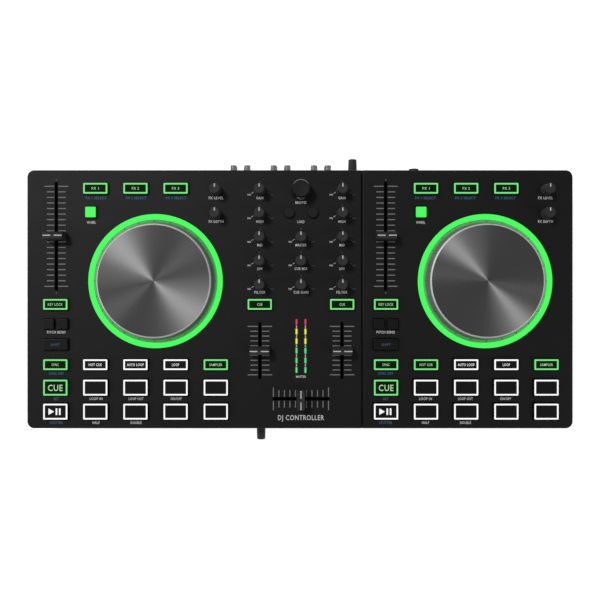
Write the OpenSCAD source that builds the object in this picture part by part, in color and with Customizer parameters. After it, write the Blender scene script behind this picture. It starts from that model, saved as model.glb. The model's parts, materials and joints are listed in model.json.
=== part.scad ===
// Two-deck controller: case in two shells, two jog wheels, five faders, twenty knobs and fifty keys.
// Origin: on the surface the feet stand on, under the middle of the case. +X right, +Y back, +Z up.

/* [Case] */
// Width of the case, left to right
case_w = 546; // [546:1:680]
// Depth of the case, front to back
case_d = 258.5; // [254:0.5:330]
// Height of the case, without its feet
case_h = 40; // [39:0.5:60]
// Radius of the case corners, seen from above
corner_r = 7; // [4:0.5:12]
// Thickness of the case walls and floor
wall = 2.5; // [2:0.1:3.5]
// Thickness of the top panels
panel_t = 3; // [2.5:0.1:3.5]
// Height of the tray's walls
tray_h = 10; // [8:0.5:12]
// Width of the gap between the two top panels
seam_gap = 1.2; // [0.8:0.1:2]
// Radius of a rubber foot
foot_r = 10; // [7:0.5:14]
// Height of a rubber foot
foot_h = 4; // [3:0.5:8]

/* [Jog wheels] */
// Outer radius of the lit ring
ring_r = 67; // [50:0.5:68]
// Width of the lit ring
ring_w = 5; // [3:0.5:8]
// Height of the lit ring above the panel
ring_rise = 1; // [0.5:0.1:2]
// Height of the wheel's top above the panel
jog_rise = 10.4; // [8:0.1:14]
// Gap between the wheel and the lit ring
jog_gap = 0.6; // [0.4:0.1:1.5]
// How far the wheel's side slopes inwards
jog_slope = 4.2; // [2:0.1:6]
// Thickness of the metal top plate
plate_t = 1.4; // [1:0.1:2]
// Number of marks round the wheel's side
jog_marks = 24; // [12:1:36]
// Radius of the bearing post
post_r = 6; // [4:0.5:9]

/* [Faders] */
// Travel of a pitch fader
pitch_travel = 100; // [60:1:100]
// Travel of a channel fader and of the crossfader
line_travel = 48.4; // [36:0.1:50]
// Width of a fader slot in the panel
slot_w = 3; // [2.4:0.1:4]
// Size of a fader cap across its slot
cap_w = 20.5; // [14:0.5:24]
// Size of a fader cap along its slot
cap_l = 8.5; // [6:0.5:12]
// Height of the caps and knobs above the panel
control_rise = 14; // [10:0.5:20]

/* [Knobs] */
// Radius of a knob at its foot
knob_r = 5.7; // [4.6:0.1:8]
// Radius of the browse knob
browse_r = 10.2; // [8:0.1:11]
// Radius of the knobs on the front and back faces
side_knob_r = 4.5; // [4.2:0.1:5.5]
// How far those knobs stand out of the case
side_knob_out = 14.5; // [10:0.5:20]
// Radius of a control's shaft
shaft_r = 2.95; // [2.4:0.05:3.1]

/* [Keys] */
// Width of a key
key_w = 24.8; // [18:0.1:30]
// Depth of a key
key_d = 11.4; // [8:0.1:14]
// Depth of a pad
pad_d = 16.5; // [12:0.1:18]
// Side of a small square key
small_key = 11.2; // [8:0.1:14]
// Width of a pitch bend key
bend_w = 10.8; // [8:0.1:12]
// Radius of a load key
load_r = 5.1; // [4:0.1:7]
// Height of a key above the panel
key_rise = 3; // [2:0.1:5]
// Travel of a key
key_travel = 1; // [0.5:0.1:1.5]
// Gap between a key and the edge of its hole
key_gap = 0.4; // [0.35:0.05:0.6]

/* [Connectors] */
// Outer radius of a phono socket's barrel
rca_r = 4.15; // [4.1:0.01:4.2]
// How far a phono barrel stands out of the case
rca_out = 8; // [6:0.5:10]
// Distance between the two sockets of a pair
rca_pitch = 14; // [12:0.1:16]
// Distance between the pairs
rca_pair_pitch = 41.2; // [30:0.1:44]
// Radius of a jack socket's bore
jack_bore_r = 3.2; // [3.2:0.01:3.3]
// Depth of a jack socket's bore
jack_bore_l = 28; // [20:1:32]
// How far the microphone socket's bushing stands out
jack_out = 4.5; // [3:0.5:8]

/* [Layout] */
// Distance from the case's left side to the left jog wheel's centre
left_deck_inset = 128.6; // [128:0.1:140]
// Distance from the case's right side to the right jog wheel's centre
right_deck_inset = 88; // [87:0.1:100]
// Jog wheel centre, from the middle of the case
jog_y = 18.1; // [16:0.1:20]
// Middle of the mixer section, from the middle of the case
mixer_x = 0.95; // [0:0.05:2]
// Distance from the mixer's middle to a channel's column
channel_dx = 41.05; // [38:0.05:44]
// Left edge of the four columns of keys, from the jog wheel's centre
columns_left = -71.9; // [-74:0.1:-70]
// Right edge of the four columns of keys, from the jog wheel's centre
columns_right = 72.9; // [71:0.1:73]
// Left edge of the transport keys under the pitch fader, from the jog wheel's centre
strip_left = -111.7; // [-112:0.1:-108]
// Distance between the rows of knobs
knob_pitch = 23.575; // [20:0.005:25]
// Line between the two top panels, from the middle of the case
seam_x = 62; // [60:0.5:64]

/* [Hidden] */
$fn = 72;
eps = 0.01;

// Levels, from the floor up
case_bottom = foot_h;
parting_z = case_bottom + tray_h;
panel_top = case_bottom + case_h;
panel_bottom = panel_top - panel_t;
board_t = 1.6;
board_drop = 9.4;
board_top = panel_bottom - board_drop;
board_bottom = board_top - board_t;
socket_half = 6;
socket_z = board_bottom - socket_half;

// Where the decks and columns stand
deck_x = [-case_w / 2 + left_deck_inset, case_w / 2 - right_deck_inset];
channel_x = [mixer_x - channel_dx, mixer_x + channel_dx];
first_knob_y = 108.9;
pitch_fader_y = 62.95;
line_fader_y = -51.35;
crossfader_y = -99.55;
fx_key_y = 110.5;
wheel_key_y = 86.9;
lock_key_y = -5.1;
bend_key_y = -24.75;
shift_key_y = -45.15;
mode_key_y = -65.15;
first_pad_y = -88.05;
pad_pitch = 23.9;
bend_dx = 6.9;
bend_d = 10.4;
wheel_key_dx = -64.3;
load_key_y = 86.45;
load_dx = 11.8;
strip_dx = strip_left + key_w / 2;
column_pitch = (columns_right - columns_left - key_w) / 3;
function column(i) = columns_left + key_w / 2 + i * column_pitch;
function knob_y(row) = first_knob_y - row * knob_pitch;
function pad_y(row) = first_pad_y - row * pad_pitch;

// Keys of one deck, each [x from the deck's centre, y, width, depth]
fx_keys = concat([for (i = [0:2]) [column(i), fx_key_y, key_w, key_d]],
    [[wheel_key_dx, wheel_key_y, small_key, small_key]]);
function_keys = [[strip_dx, lock_key_y, key_w, key_d], [strip_dx - bend_dx, bend_key_y, bend_w, bend_d],
    [strip_dx + bend_dx, bend_key_y, bend_w, bend_d], [strip_dx, shift_key_y, key_w, key_d]];
sync_keys = [[strip_dx, mode_key_y, key_w, key_d]];
cue_keys = [[strip_dx, pad_y(0), key_w, pad_d]];
play_keys = [[strip_dx, pad_y(1), key_w, pad_d]];
mode_keys = [for (i = [0:3]) [column(i), mode_key_y, key_w, key_d]];
pad_keys = [for (j = [0:1], i = [0:3]) [column(i), pad_y(j), key_w, pad_d]];
deck_keys = concat(fx_keys, function_keys, sync_keys, cue_keys, play_keys, mode_keys, pad_keys);
channel_keys = [for (x = channel_x) [x, lock_key_y, key_w, key_d]];
load_spots = [for (s = [-1, 1]) [mixer_x + s * load_dx, load_key_y]];

// Knobs of the mixer and of one deck
mixer_knobs = concat([for (x = channel_x, row = [0:4]) [x, knob_y(row)]],
    [for (row = [2:4]) [mixer_x, knob_y(row)]], [[mixer_x, first_knob_y]]);
deck_knobs = [for (row = [0:1]) [column(3), knob_y(row)]];

// Key parts under the panel
flange_over = 1.5;
flange_t = 1.2;
flange_top = panel_bottom - 0.5;
web_w = 4;
stem_r = 2;
switch_side = 6;
switch_h = 3.4;
plunger_r = 1.6;
plunger_h = 0.8;
stem_bottom = board_top + switch_h + plunger_h + key_travel + 0.3;

// Controls under the panel
fit = 0.05;
pot_w = 10;
pot_d = 12;
pot_h = 6.5;
bushing_r = 3.75;
bushing_clear = 0.3;
bushing_top = panel_top - 0.5;
shaft_start = board_top + 1.5;
knob_foot = panel_top + 1;
knob_top = panel_top + control_rise;
slide_w = 9;
slide_h = 7;
slide_end = 8;
slide_wall = 1.5;
slide_skin = 1;
channel_w = 6.4;
carriage_w = 5.4;
carriage_l = 9;
carriage_h = 3.6;
lever_t = 1.6;
lever_l = 4;
slot_over = 4.2;

// Jog wheel parts
ring_inner = ring_r - ring_w;
ring_fit = 0.15;
ring_flange_t = 3;
ring_flange = 2;
bearing_t = 2;
bearing_top = panel_bottom - ring_flange_t;
wheel_r = ring_inner - jog_gap;
wheel_top = panel_top + jog_rise - plate_t;
wheel_foot = bearing_top + 0.8;
wheel_side_z = panel_top + ring_rise + 0.5;
wheel_skin = 2.2;
wheel_wall = 3;
hub_r = post_r + 4;
hub_foot = bearing_top + 0.4;
post_top = wheel_top - wheel_skin - 0.6;
rim_r = wheel_r - jog_slope;
plate_r = rim_r - 0.6;
plate_edge = 1;
mark_w = 1.1;
mark_deep = 0.6;

// Level meter
meter_dx = 4.45;
meter_y = -22.65;
meter_pitch = 9.62;
meter_rows = 6;
lens_w = 3.2;
lens_d = 6.6;
lens_clear = 0.15;
lens_rise = 0.2;
meter_base_t = 2;

// Connectors along the front and back faces
wall_y = case_d / 2;
inner_y = wall_y - wall;
socket_clear = 0.2;
rca_first_x = -68.1;
rca_body_w = 12;
rca_body_d = 14;
rca_pin_r = 1.65;
rca_pin_l = 9;
rca_face_r = 3.3;
rca_face_l = 0.8;
rca_root_r = rca_r + 0.85;
jack_body_w = 14;
jack_bushing_r = 5;
nut_r = 7;
nut_t = 1.8;
phones_jack_x = -64;
mic_jack_x = 117;
usb_x = 84;
usb_w = 12;
usb_h = 11;
usb_l = 16;
usb_open_w = 8.6;
usb_open_h = 7.8;
usb_open_l = 12;
usb_z = board_bottom - usb_h / 2;
phones_knob_x = -40;
mic_knob_x = 54;
side_pot_d = 8;
side_knob_gap = 0.6;
rear_screw_dx = 17;
rear_screw_l = 6;

// Screws and feet
boss_r = 3;
boss_tip_r = 2.5;
board_hole_r = 2.8;
pilot_r = 1.5;
screw_r = 1.4;
screw_l = 17;
screw_pass_r = 1.7;
head_r = 2.8;
head_h = 1.8;
sink_r = 3.2;
tray_boss_r = 4.9;
sink_top = case_bottom + 4.5;
corner_dx = case_w / 2 - 9;
edge_dy = case_d / 2 - 9.25;
inner_screw_y = -40;
inner_screw_dx = [-70.6, 62];
left_screws = concat([for (s = [-1, 1]) [-corner_dx, s * edge_dy]],
    [for (dx = inner_screw_dx) [deck_x[0] + dx, inner_screw_y]],
    [[channel_x[1], edge_dy + 1.5], [-20, -edge_dy - 1.5]]);
right_screws = concat([for (s = [-1, 1]) [corner_dx, s * edge_dy]],
    [for (dx = inner_screw_dx) [deck_x[1] + dx, inner_screw_y]],
    [[seam_x + 9, edge_dy - 8], [seam_x + 6, -edge_dy + 2]]);
foot_dx = case_w / 2 - 33;
foot_dy = case_d / 2 - 25;
feet_spots = concat([for (x = [-foot_dx, foot_dx], y = [-foot_dy, foot_dy]) [x, y]],
    [for (y = [-foot_dy, foot_dy]) [0, y]]);
board_inset = wall + 3;
board_edge = 2.5;
seam_lip = 2;
ribbon_l = 24;
ribbon_t = 0.5;
ribbon_over = 3;
vent_x = [-150, 150];
vent_count = 9;
vent_l = 60;
vent_w = 2.5;
vent_pitch = 6;

// Shared shapes

module at_deck(side) translate([deck_x[side], 0, 0]) children();

module case_outline(inset) {
    r = corner_r - inset;
    w = case_w - 2 * inset;
    d = case_d - 2 * inset;
    square([w - 2 * r, d], center = true);
    square([w, d - 2 * r], center = true);
    for (x = [-1, 1], y = [-1, 1]) translate([x * (w / 2 - r), y * (d / 2 - r)]) circle(r);
}

module between(x0, x1) translate([x0, -case_d]) square([x1 - x0, 2 * case_d]);

// A shape on a side face of the case, drawn looking in along +Y from outside the front
module through_front(x, z) translate([x, -wall_y, z]) rotate([-90, 0, 0]) children();
module through_back(x, z) translate([x, wall_y, z]) rotate([90, 0, 0]) children();

// Top panels

module key_hole(key) {
    translate([key[0], key[1]]) square([key[2] + 2 * key_gap, key[3] + 2 * key_gap], center = true);
}

module knob_holes(spots) for (p = spots) translate(p) circle(bushing_r + bushing_clear);

module deck_openings() {
    translate([0, jog_y]) circle(ring_r + ring_fit);
    translate([strip_dx, pitch_fader_y])
        square([slot_w, pitch_travel + 2 * slot_over], center = true);
    for (key = deck_keys) key_hole(key);
    knob_holes(deck_knobs);
}

module mixer_openings() {
    for (key = channel_keys) key_hole(key);
    for (p = load_spots) translate(p) circle(load_r + key_gap);
    knob_holes(mixer_knobs);
    for (x = channel_x) translate([x, line_fader_y])
        square([slot_w, line_travel + 2 * slot_over], center = true);
    translate([mixer_x, crossfader_y]) square([line_travel + 2 * slot_over, slot_w], center = true);
    for (p = lens_spots()) translate(p)
        square([lens_w + 2 * lens_clear, lens_d + 2 * lens_clear], center = true);
}

module panel_plate(x0, x1) {
    translate([0, 0, panel_bottom]) linear_extrude(panel_t) difference() {
        intersection() {
            case_outline(0);
            between(x0, x1);
        }
        children();
    }
}

module panel_skirt(x0, x1) {
    translate([0, 0, parting_z]) linear_extrude(panel_bottom - parting_z) intersection() {
        difference() {
            case_outline(0);
            case_outline(wall);
        }
        between(x0, x1);
    }
}

// A screw boss whose shoulder seats the circuit board
module boss(spot) translate(spot) difference() {
    union() {
        translate([0, 0, board_top]) cylinder(h = board_drop, r = boss_r);
        translate([0, 0, parting_z]) cylinder(h = board_top - parting_z, r = boss_tip_r);
    }
    translate([0, 0, parting_z - eps]) cylinder(h = screw_l - 2, r = pilot_r);
}

// A lip that closes the gap between the panels from inside
module seam_strip() {
    x0 = seam_x - seam_gap / 2 - seam_lip;
    w = seam_gap + 2 * seam_lip;
    translate([x0, -inner_y, panel_bottom - seam_lip]) cube([w, 2 * inner_y, seam_lip]);
    for (y = [-inner_y, inner_y - 2]) translate([x0, y, parting_z])
        cube([w, 2, panel_bottom - parting_z]);
}

module left_top_panel() color([0.13, 0.13, 0.14]) difference() {
    union() {
        panel_plate(-case_w / 2 - 1, seam_x - seam_gap / 2) {
            at_deck(0) deck_openings();
            mixer_openings();
        }
        panel_skirt(-case_w / 2 - 1, seam_x - seam_gap / 2);
        seam_strip();
        for (spot = left_screws) boss(spot);
    }
    for (x = rca_spots()) through_back(x, socket_z) translate([0, 0, -1])
        cylinder(h = wall + 2, r = rca_root_r + socket_clear);
    through_back(mic_knob_x, socket_z) translate([0, 0, -1])
        cylinder(h = wall + 2, r = bushing_r + socket_clear);
    through_front(phones_knob_x, socket_z) translate([0, 0, -1])
        cylinder(h = wall + 2, r = bushing_r + socket_clear);
    through_front(phones_jack_x, socket_z) translate([0, 0, -1])
        cylinder(h = wall + 2, r = jack_bushing_r + socket_clear);
}

module right_top_panel() color([0.13, 0.13, 0.14]) difference() {
    union() {
        panel_plate(seam_x + seam_gap / 2, case_w / 2 + 1) at_deck(1) deck_openings();
        panel_skirt(seam_x + seam_gap / 2, case_w / 2 + 1);
        for (spot = right_screws) boss(spot);
    }
    through_back(mic_jack_x, socket_z) translate([0, 0, -1])
        cylinder(h = wall + 2, r = jack_bushing_r + socket_clear);
    translate([usb_x - usb_w / 2 - socket_clear, inner_y - 1, usb_z - usb_h / 2 - socket_clear])
        cube([usb_w + 2 * socket_clear, wall + 2, usb_h + 2 * socket_clear]);
    for (s = [-1, 1]) through_back(usb_x + s * rear_screw_dx, usb_z) translate([0, 0, -1])
        cylinder(h = wall + 2, r = screw_r + socket_clear);
}

// Bottom tray

module bottom_case() color([0.1, 0.1, 0.105]) difference() {
    union() {
        translate([0, 0, case_bottom]) linear_extrude(wall) case_outline(0);
        translate([0, 0, case_bottom + wall]) linear_extrude(tray_h - wall) difference() {
            case_outline(0);
            case_outline(wall);
        }
        for (spot = concat(left_screws, right_screws)) translate([spot.x, spot.y, case_bottom])
            cylinder(h = tray_h, r = tray_boss_r);
    }
    for (spot = concat(left_screws, right_screws)) translate([spot.x, spot.y, case_bottom - 1]) {
        cylinder(h = tray_h + 2, r = screw_pass_r);
        cylinder(h = sink_top - case_bottom + 1, r = sink_r);
    }
    for (x = vent_x, i = [0:vent_count - 1])
        translate([x - vent_l / 2, (i - (vent_count - 1) / 2) * vent_pitch, case_bottom - 1])
            cube([vent_l, vent_w, wall + 2]);
}

module feet() color([0.08, 0.08, 0.08]) for (p = feet_spots) translate([p.x, p.y, 0]) {
    cylinder(h = 1, r1 = foot_r - 1, r2 = foot_r);
    translate([0, 0, 1]) cylinder(h = foot_h - 1, r = foot_r);
}

module case_screws() color([0.3, 0.3, 0.32]) {
    for (spot = concat(left_screws, right_screws)) translate([spot.x, spot.y, sink_top - head_h]) {
        difference() {
            cylinder(h = head_h, r = head_r);
            for (turn = [0, 90]) rotate([0, 0, turn]) translate([-1.6, -0.3, -eps]) cube([3.2, 0.6, 1]);
        }
        translate([0, 0, head_h]) cylinder(h = screw_l, r = screw_r);
    }
    for (s = [-1, 1]) through_back(usb_x + s * rear_screw_dx, usb_z) {
        cylinder(h = rear_screw_l, r = screw_r);
        translate([0, 0, -head_h]) cylinder(h = head_h, r = head_r);
    }
}

// Boards and what stands on them

module board(x0, x1) linear_extrude(board_t) difference() {
    translate([x0, -wall_y + board_inset]) square([x1 - x0, case_d - 2 * board_inset]);
    for (spot = concat(left_screws, right_screws)) translate(spot) circle(board_hole_r);
}

module circuit_boards() color([0.05, 0.25, 0.14]) {
    left_x = channel_x[0] - 20;
    right_x = seam_x + board_edge;
    translate([0, 0, board_bottom]) {
        board(-case_w / 2 + board_inset, left_x - board_edge);
        board(left_x, seam_x - board_edge);
        board(right_x, case_w / 2 - board_inset);
    }
    for (x = [left_x - board_edge, seam_x - board_edge])
        translate([x - ribbon_over, -ribbon_l / 2 + jog_y, board_bottom - ribbon_t])
            cube([2 * ribbon_over + 2 * board_edge, ribbon_l, ribbon_t]);
}

module tact_switch(spot) translate([spot.x, spot.y, board_top]) {
    translate([-switch_side / 2, -switch_side / 2, 0]) cube([switch_side, switch_side, switch_h]);
    cylinder(h = switch_h + plunger_h, r = plunger_r);
}

module tact_switches() color([0.2, 0.2, 0.22]) {
    for (side = [0, 1]) at_deck(side) for (key = deck_keys) tact_switch([key[0], key[1]]);
    for (key = channel_keys) tact_switch([key[0], key[1]]);
    for (p = load_spots) tact_switch(p);
}

// A slide control along Y: a metal channel with a slot along its top
module slide_pot(travel) {
    l = travel + 2 * slide_end;
    inner = l - 2 * slide_wall;
    translate([0, 0, board_top]) difference() {
        translate([-slide_w / 2, -l / 2, 0]) cube([slide_w, l, slide_h]);
        translate([-channel_w / 2, -inner / 2, slide_skin])
            cube([channel_w, inner, slide_h - 2 * slide_skin]);
        translate([-slot_w / 2, -inner / 2, slide_skin]) cube([slot_w, inner, slide_h]);
    }
}

module slide_pots() color([0.6, 0.6, 0.62]) {
    for (side = [0, 1]) at_deck(side) translate([strip_dx, pitch_fader_y, 0]) slide_pot(pitch_travel);
    for (x = channel_x) translate([x, line_fader_y, 0]) slide_pot(line_travel);
    translate([mixer_x, crossfader_y, 0]) rotate([0, 0, 90]) slide_pot(line_travel);
}

module rotary_pot() difference() {
    union() {
        translate([-pot_w / 2, -pot_d / 2, board_top]) cube([pot_w, pot_d, pot_h]);
        translate([0, 0, board_top]) cylinder(h = bushing_top - board_top, r = bushing_r);
    }
    translate([0, 0, shaft_start - 0.4]) cylinder(h = panel_top, r = shaft_r + fit);
}

// The same control behind a side face, with its bushing through the wall
module side_pot() difference() {
    union() {
        translate([-pot_w / 2, -socket_half, wall]) cube([pot_w, 2 * socket_half, side_pot_d]);
        cylinder(h = wall + 1, r = bushing_r);
    }
    translate([0, 0, -1]) cylinder(h = wall + side_pot_d - 1, r = shaft_r + fit);
}

module rotary_pots() color([0.45, 0.45, 0.47]) {
    for (side = [0, 1]) at_deck(side) for (p = deck_knobs) translate(p) rotary_pot();
    for (p = mixer_knobs) translate(p) rotary_pot();
    through_front(phones_knob_x, socket_z) side_pot();
    through_back(mic_knob_x, socket_z) side_pot();
}

// Lights

module ring_lights() color([0.35, 0.95, 0.4]) for (side = [0, 1]) at_deck(side)
    translate([0, jog_y, bearing_top]) difference() {
        union() {
            cylinder(h = panel_top + ring_rise - bearing_top, r = ring_r);
            cylinder(h = ring_flange_t, r = ring_r + ring_flange);
        }
        translate([0, 0, -1]) cylinder(h = panel_top, r = ring_inner);
    }

function lens_spots() = [for (s = [-1, 1], i = [0:meter_rows - 1])
    [mixer_x + s * meter_dx, meter_y - i * meter_pitch]];

module level_meter() color([0.8, 0.9, 0.8]) {
    last_y = meter_y - (meter_rows - 1) * meter_pitch;
    translate([mixer_x - meter_dx - 3, last_y - 5, panel_bottom - meter_base_t])
        cube([2 * meter_dx + 6, meter_y - last_y + 10, meter_base_t]);
    for (p = lens_spots()) translate([p.x - lens_w / 2, p.y - lens_d / 2, panel_bottom - 1])
        cube([lens_w, lens_d, panel_t + 1 + lens_rise]);
}

// Jog wheels

module jog_bearings() color([0.55, 0.56, 0.58]) for (side = [0, 1]) at_deck(side)
    translate([0, jog_y, bearing_top - bearing_t]) {
        cylinder(h = bearing_t, r = ring_r + ring_flange);
        cylinder(h = post_top - bearing_top + bearing_t, r = post_r);
    }

module jog_wheel(side) color([0.09, 0.1, 0.09]) translate([deck_x[side], jog_y, 0]) difference() {
    rotate_extrude() polygon([
        [post_r + fit, hub_foot], [hub_r, hub_foot], [hub_r, wheel_top - wheel_skin],
        [rim_r - wheel_wall, wheel_top - wheel_skin], [wheel_r - wheel_wall, wheel_side_z],
        [wheel_r - wheel_wall, wheel_foot], [wheel_r, wheel_foot], [wheel_r, wheel_side_z],
        [rim_r, wheel_top], [post_r + fit, wheel_top]]);
    slope_angle = atan2(wheel_top - wheel_side_z, jog_slope);
    slope_l = norm([wheel_top - wheel_side_z, jog_slope]);
    for (i = [0:jog_marks - 1]) rotate([0, 0, i * 360 / jog_marks])
        translate([wheel_r, 0, wheel_side_z]) rotate([0, slope_angle - 180, 0])
            translate([slope_l * 0.2, -mark_w / 2, -mark_deep])
                cube([slope_l * 0.6, mark_w, 2 * mark_deep]);
}

module jog_plate(side) color([0.62, 0.63, 0.65]) translate([deck_x[side], jog_y, wheel_top])
    rotate_extrude() polygon([[0, 0], [plate_r, 0], [plate_r, plate_t - plate_edge * 0.6],
        [plate_r - plate_edge, plate_t], [0, plate_t]]);

module left_jog_wheel() jog_wheel(0);
module left_jog_plate() jog_plate(0);
module right_jog_wheel() jog_wheel(1);
module right_jog_plate() jog_plate(1);

// Faders: a cap with a waist, on a lever that runs in its slide control

module fader() color([0.12, 0.12, 0.13]) {
    cap_h = knob_top - knob_foot;
    difference() {
        translate([cap_w / 2, 0, knob_foot]) rotate([90, 0, -90]) linear_extrude(cap_w) difference() {
            polygon([[-cap_l / 2, 0], [cap_l / 2, 0], [cap_l / 2 - 1, cap_h], [-cap_l / 2 + 1, cap_h]]);
            translate([0, cap_h + cap_l * 0.78]) circle(cap_l * 0.95);
        }
        translate([-lever_t / 2 - fit, -lever_l / 2 - fit, knob_foot - 1])
            cube([lever_t + 2 * fit, lever_l + 2 * fit, cap_h * 0.55 + 1]);
    }
    lever_foot = board_top + slide_skin + 0.5;
    translate([-lever_t / 2, -lever_l / 2, lever_foot])
        cube([lever_t, lever_l, knob_foot + cap_h * 0.55 - fit - lever_foot]);
    translate([-carriage_w / 2, -carriage_l / 2, lever_foot]) cube([carriage_w, carriage_l, carriage_h]);
}

module pitch_fader(side) translate([deck_x[side] + strip_dx, pitch_fader_y, 0]) fader();
module left_pitch_fader() pitch_fader(0);
module right_pitch_fader() pitch_fader(1);
module left_line_fader() translate([channel_x[0], line_fader_y, 0]) fader();
module right_line_fader() translate([channel_x[1], line_fader_y, 0]) fader();
module crossfader() translate([mixer_x, crossfader_y, 0]) rotate([0, 0, 90]) fader();

// Knobs, each with its shaft; the shaft's top sits in a blind hole in the cap

module knob_cap(r_foot, r_head, h, hole) difference() {
    cylinder(h = h, r1 = r_foot, r2 = r_head);
    translate([0, 0, -1]) cylinder(h = hole + 1, r = shaft_r + fit);
}

module top_knob(spot, r) color([0.11, 0.11, 0.12]) translate(spot) {
    hole = control_rise - 4;
    translate([0, 0, knob_foot]) knob_cap(r, r * 0.89, knob_top - knob_foot, hole);
    translate([0, 0, shaft_start]) cylinder(h = knob_foot + hole - fit - shaft_start, r = shaft_r);
}

// A knob on a side face, drawn outwards from the face along -Z
module side_knob() color([0.11, 0.11, 0.12]) mirror([0, 0, 1]) {
    cone = 2.4;
    hole = side_knob_out - 4;
    difference() {
        union() {
            translate([0, 0, side_knob_gap]) cylinder(h = cone, r1 = side_knob_r + 1.5, r2 = side_knob_r);
            translate([0, 0, side_knob_gap + cone])
                cylinder(h = side_knob_out - side_knob_gap - cone, r = side_knob_r);
        }
        cylinder(h = hole, r = shaft_r + fit);
    }
    tail = wall + side_pot_d - 2.4;
    translate([0, 0, -tail]) cylinder(h = tail + hole - fit, r = shaft_r);
}

module channel_knob(side, row) top_knob([channel_x[side], knob_y(row)], knob_r);
module left_gain_knob() channel_knob(0, 0);
module left_high_knob() channel_knob(0, 1);
module left_mid_knob() channel_knob(0, 2);
module left_low_knob() channel_knob(0, 3);
module left_filter_knob() channel_knob(0, 4);
module right_gain_knob() channel_knob(1, 0);
module right_high_knob() channel_knob(1, 1);
module right_mid_knob() channel_knob(1, 2);
module right_low_knob() channel_knob(1, 3);
module right_filter_knob() channel_knob(1, 4);
module master_knob() top_knob([mixer_x, knob_y(2)], knob_r);
module cue_mix_knob() top_knob([mixer_x, knob_y(3)], knob_r);
module cue_gain_knob() top_knob([mixer_x, knob_y(4)], knob_r);
module left_fx_level_knob() at_deck(0) top_knob(deck_knobs[0], knob_r);
module left_fx_amount_knob() at_deck(0) top_knob(deck_knobs[1], knob_r);
module right_fx_level_knob() at_deck(1) top_knob(deck_knobs[0], knob_r);
module right_fx_amount_knob() at_deck(1) top_knob(deck_knobs[1], knob_r);
module browse_knob() top_knob([mixer_x, first_knob_y], browse_r);
module phones_knob() through_front(phones_knob_x, socket_z) side_knob();
module mic_knob() through_back(mic_knob_x, socket_z) side_knob();

// Keys: caps on one moulded mat under the panel, with a stem over each switch

module key_body(spot) {
    translate([spot.x, spot.y, stem_bottom]) cylinder(h = flange_top - stem_bottom, r = stem_r);
}

module key(k) {
    foot = flange_top - flange_t;
    top = panel_top + key_rise;
    translate([k[0] - k[2] / 2, k[1] - k[3] / 2, foot]) cube([k[2], k[3], top - foot]);
    translate([k[0] - k[2] / 2 - flange_over, k[1] - k[3] / 2 - flange_over, foot])
        cube([k[2] + 2 * flange_over, k[3] + 2 * flange_over, flange_t]);
    key_body([k[0], k[1]]);
}

// A strip of the mat along X or Y, from one place to another
module web(a, b) {
    low = [min(a[0], b[0]), min(a[1], b[1])];
    size = [abs(a[0] - b[0]), abs(a[1] - b[1])];
    translate([low.x - web_w / 2, low.y - web_w / 2, flange_top - flange_t])
        cube([size.x + web_w, size.y + web_w, flange_t]);
}

module key_mat(side, keys) color([0.2, 0.6, 0.28]) at_deck(side) {
    for (k = keys) key(k);
    children();
}

module fx_mat(side) key_mat(side, fx_keys) {
    web(fx_keys[0], fx_keys[2]);
    web([wheel_key_dx, fx_key_y], fx_keys[3]);
}
module function_mat(side) key_mat(side, function_keys) web(function_keys[0], function_keys[3]);
module mode_mat(side) key_mat(side, mode_keys) web(mode_keys[0], mode_keys[3]);
module pad_mat(side) key_mat(side, pad_keys) {
    for (row = [0, 4]) web(pad_keys[row], pad_keys[row + 3]);
    for (i = [0:3]) web(pad_keys[i], pad_keys[i + 4]);
}

module left_fx_keys() fx_mat(0);
module right_fx_keys() fx_mat(1);
module left_function_keys() function_mat(0);
module right_function_keys() function_mat(1);
module left_sync_key() key_mat(0, sync_keys);
module right_sync_key() key_mat(1, sync_keys);
module left_cue_key() key_mat(0, cue_keys);
module right_cue_key() key_mat(1, cue_keys);
module left_play_key() key_mat(0, play_keys);
module right_play_key() key_mat(1, play_keys);
module left_mode_keys() mode_mat(0);
module right_mode_keys() mode_mat(1);
module left_pads() pad_mat(0);
module right_pads() pad_mat(1);

module channel_cue_keys() color([0.2, 0.6, 0.28]) {
    for (k = channel_keys) key(k);
    web(channel_keys[0], channel_keys[1]);
}

module load_keys() color([0.12, 0.12, 0.13]) {
    foot = flange_top - flange_t;
    for (p = load_spots) {
        translate([p.x, p.y, foot]) {
            cylinder(h = panel_top + key_rise - foot, r = load_r);
            cylinder(h = flange_t, r = load_r + flange_over);
        }
        key_body(p);
    }
    web(load_spots[0], load_spots[1]);
}

// Connectors

function rca_spots() = [for (pair = [0:2], i = [0, 1])
    rca_first_x + pair * rca_pair_pitch + i * rca_pitch];

module rca_sockets() color([0.75, 0.75, 0.78]) for (x = rca_spots()) through_back(x, socket_z)
    difference() {
        union() {
            translate([-rca_body_w / 2, -socket_half, wall]) cube([rca_body_w, 2 * socket_half, rca_body_d]);
            translate([0, 0, -rca_out]) cylinder(h = rca_out + wall + 1, r = rca_r);
            cylinder(h = wall + 1, r = rca_root_r);
        }
        translate([0, 0, -rca_out - 1]) cylinder(h = rca_pin_l + 1, r = rca_pin_r);
        translate([0, 0, -rca_out - 1]) cylinder(h = rca_face_l + 1, r = rca_face_r);
    }

// A jack socket whose bushing stands out of the face by the given amount
module jack_socket(out) difference() {
    union() {
        translate([-jack_body_w / 2, -socket_half, wall])
            cube([jack_body_w, 2 * socket_half, jack_bore_l + 2]);
        translate([0, 0, -out]) cylinder(h = out + wall + 1, r = jack_bushing_r);
        if (out > nut_t) translate([0, 0, -nut_t]) cylinder(h = nut_t, r = nut_r, $fn = 6);
    }
    translate([0, 0, -out - 1]) cylinder(h = jack_bore_l + 1, r = jack_bore_r);
}

module jack_sockets() color([0.3, 0.3, 0.32]) {
    through_front(phones_jack_x, socket_z) jack_socket(0);
    through_back(mic_jack_x, socket_z) jack_socket(jack_out);
}

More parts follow.
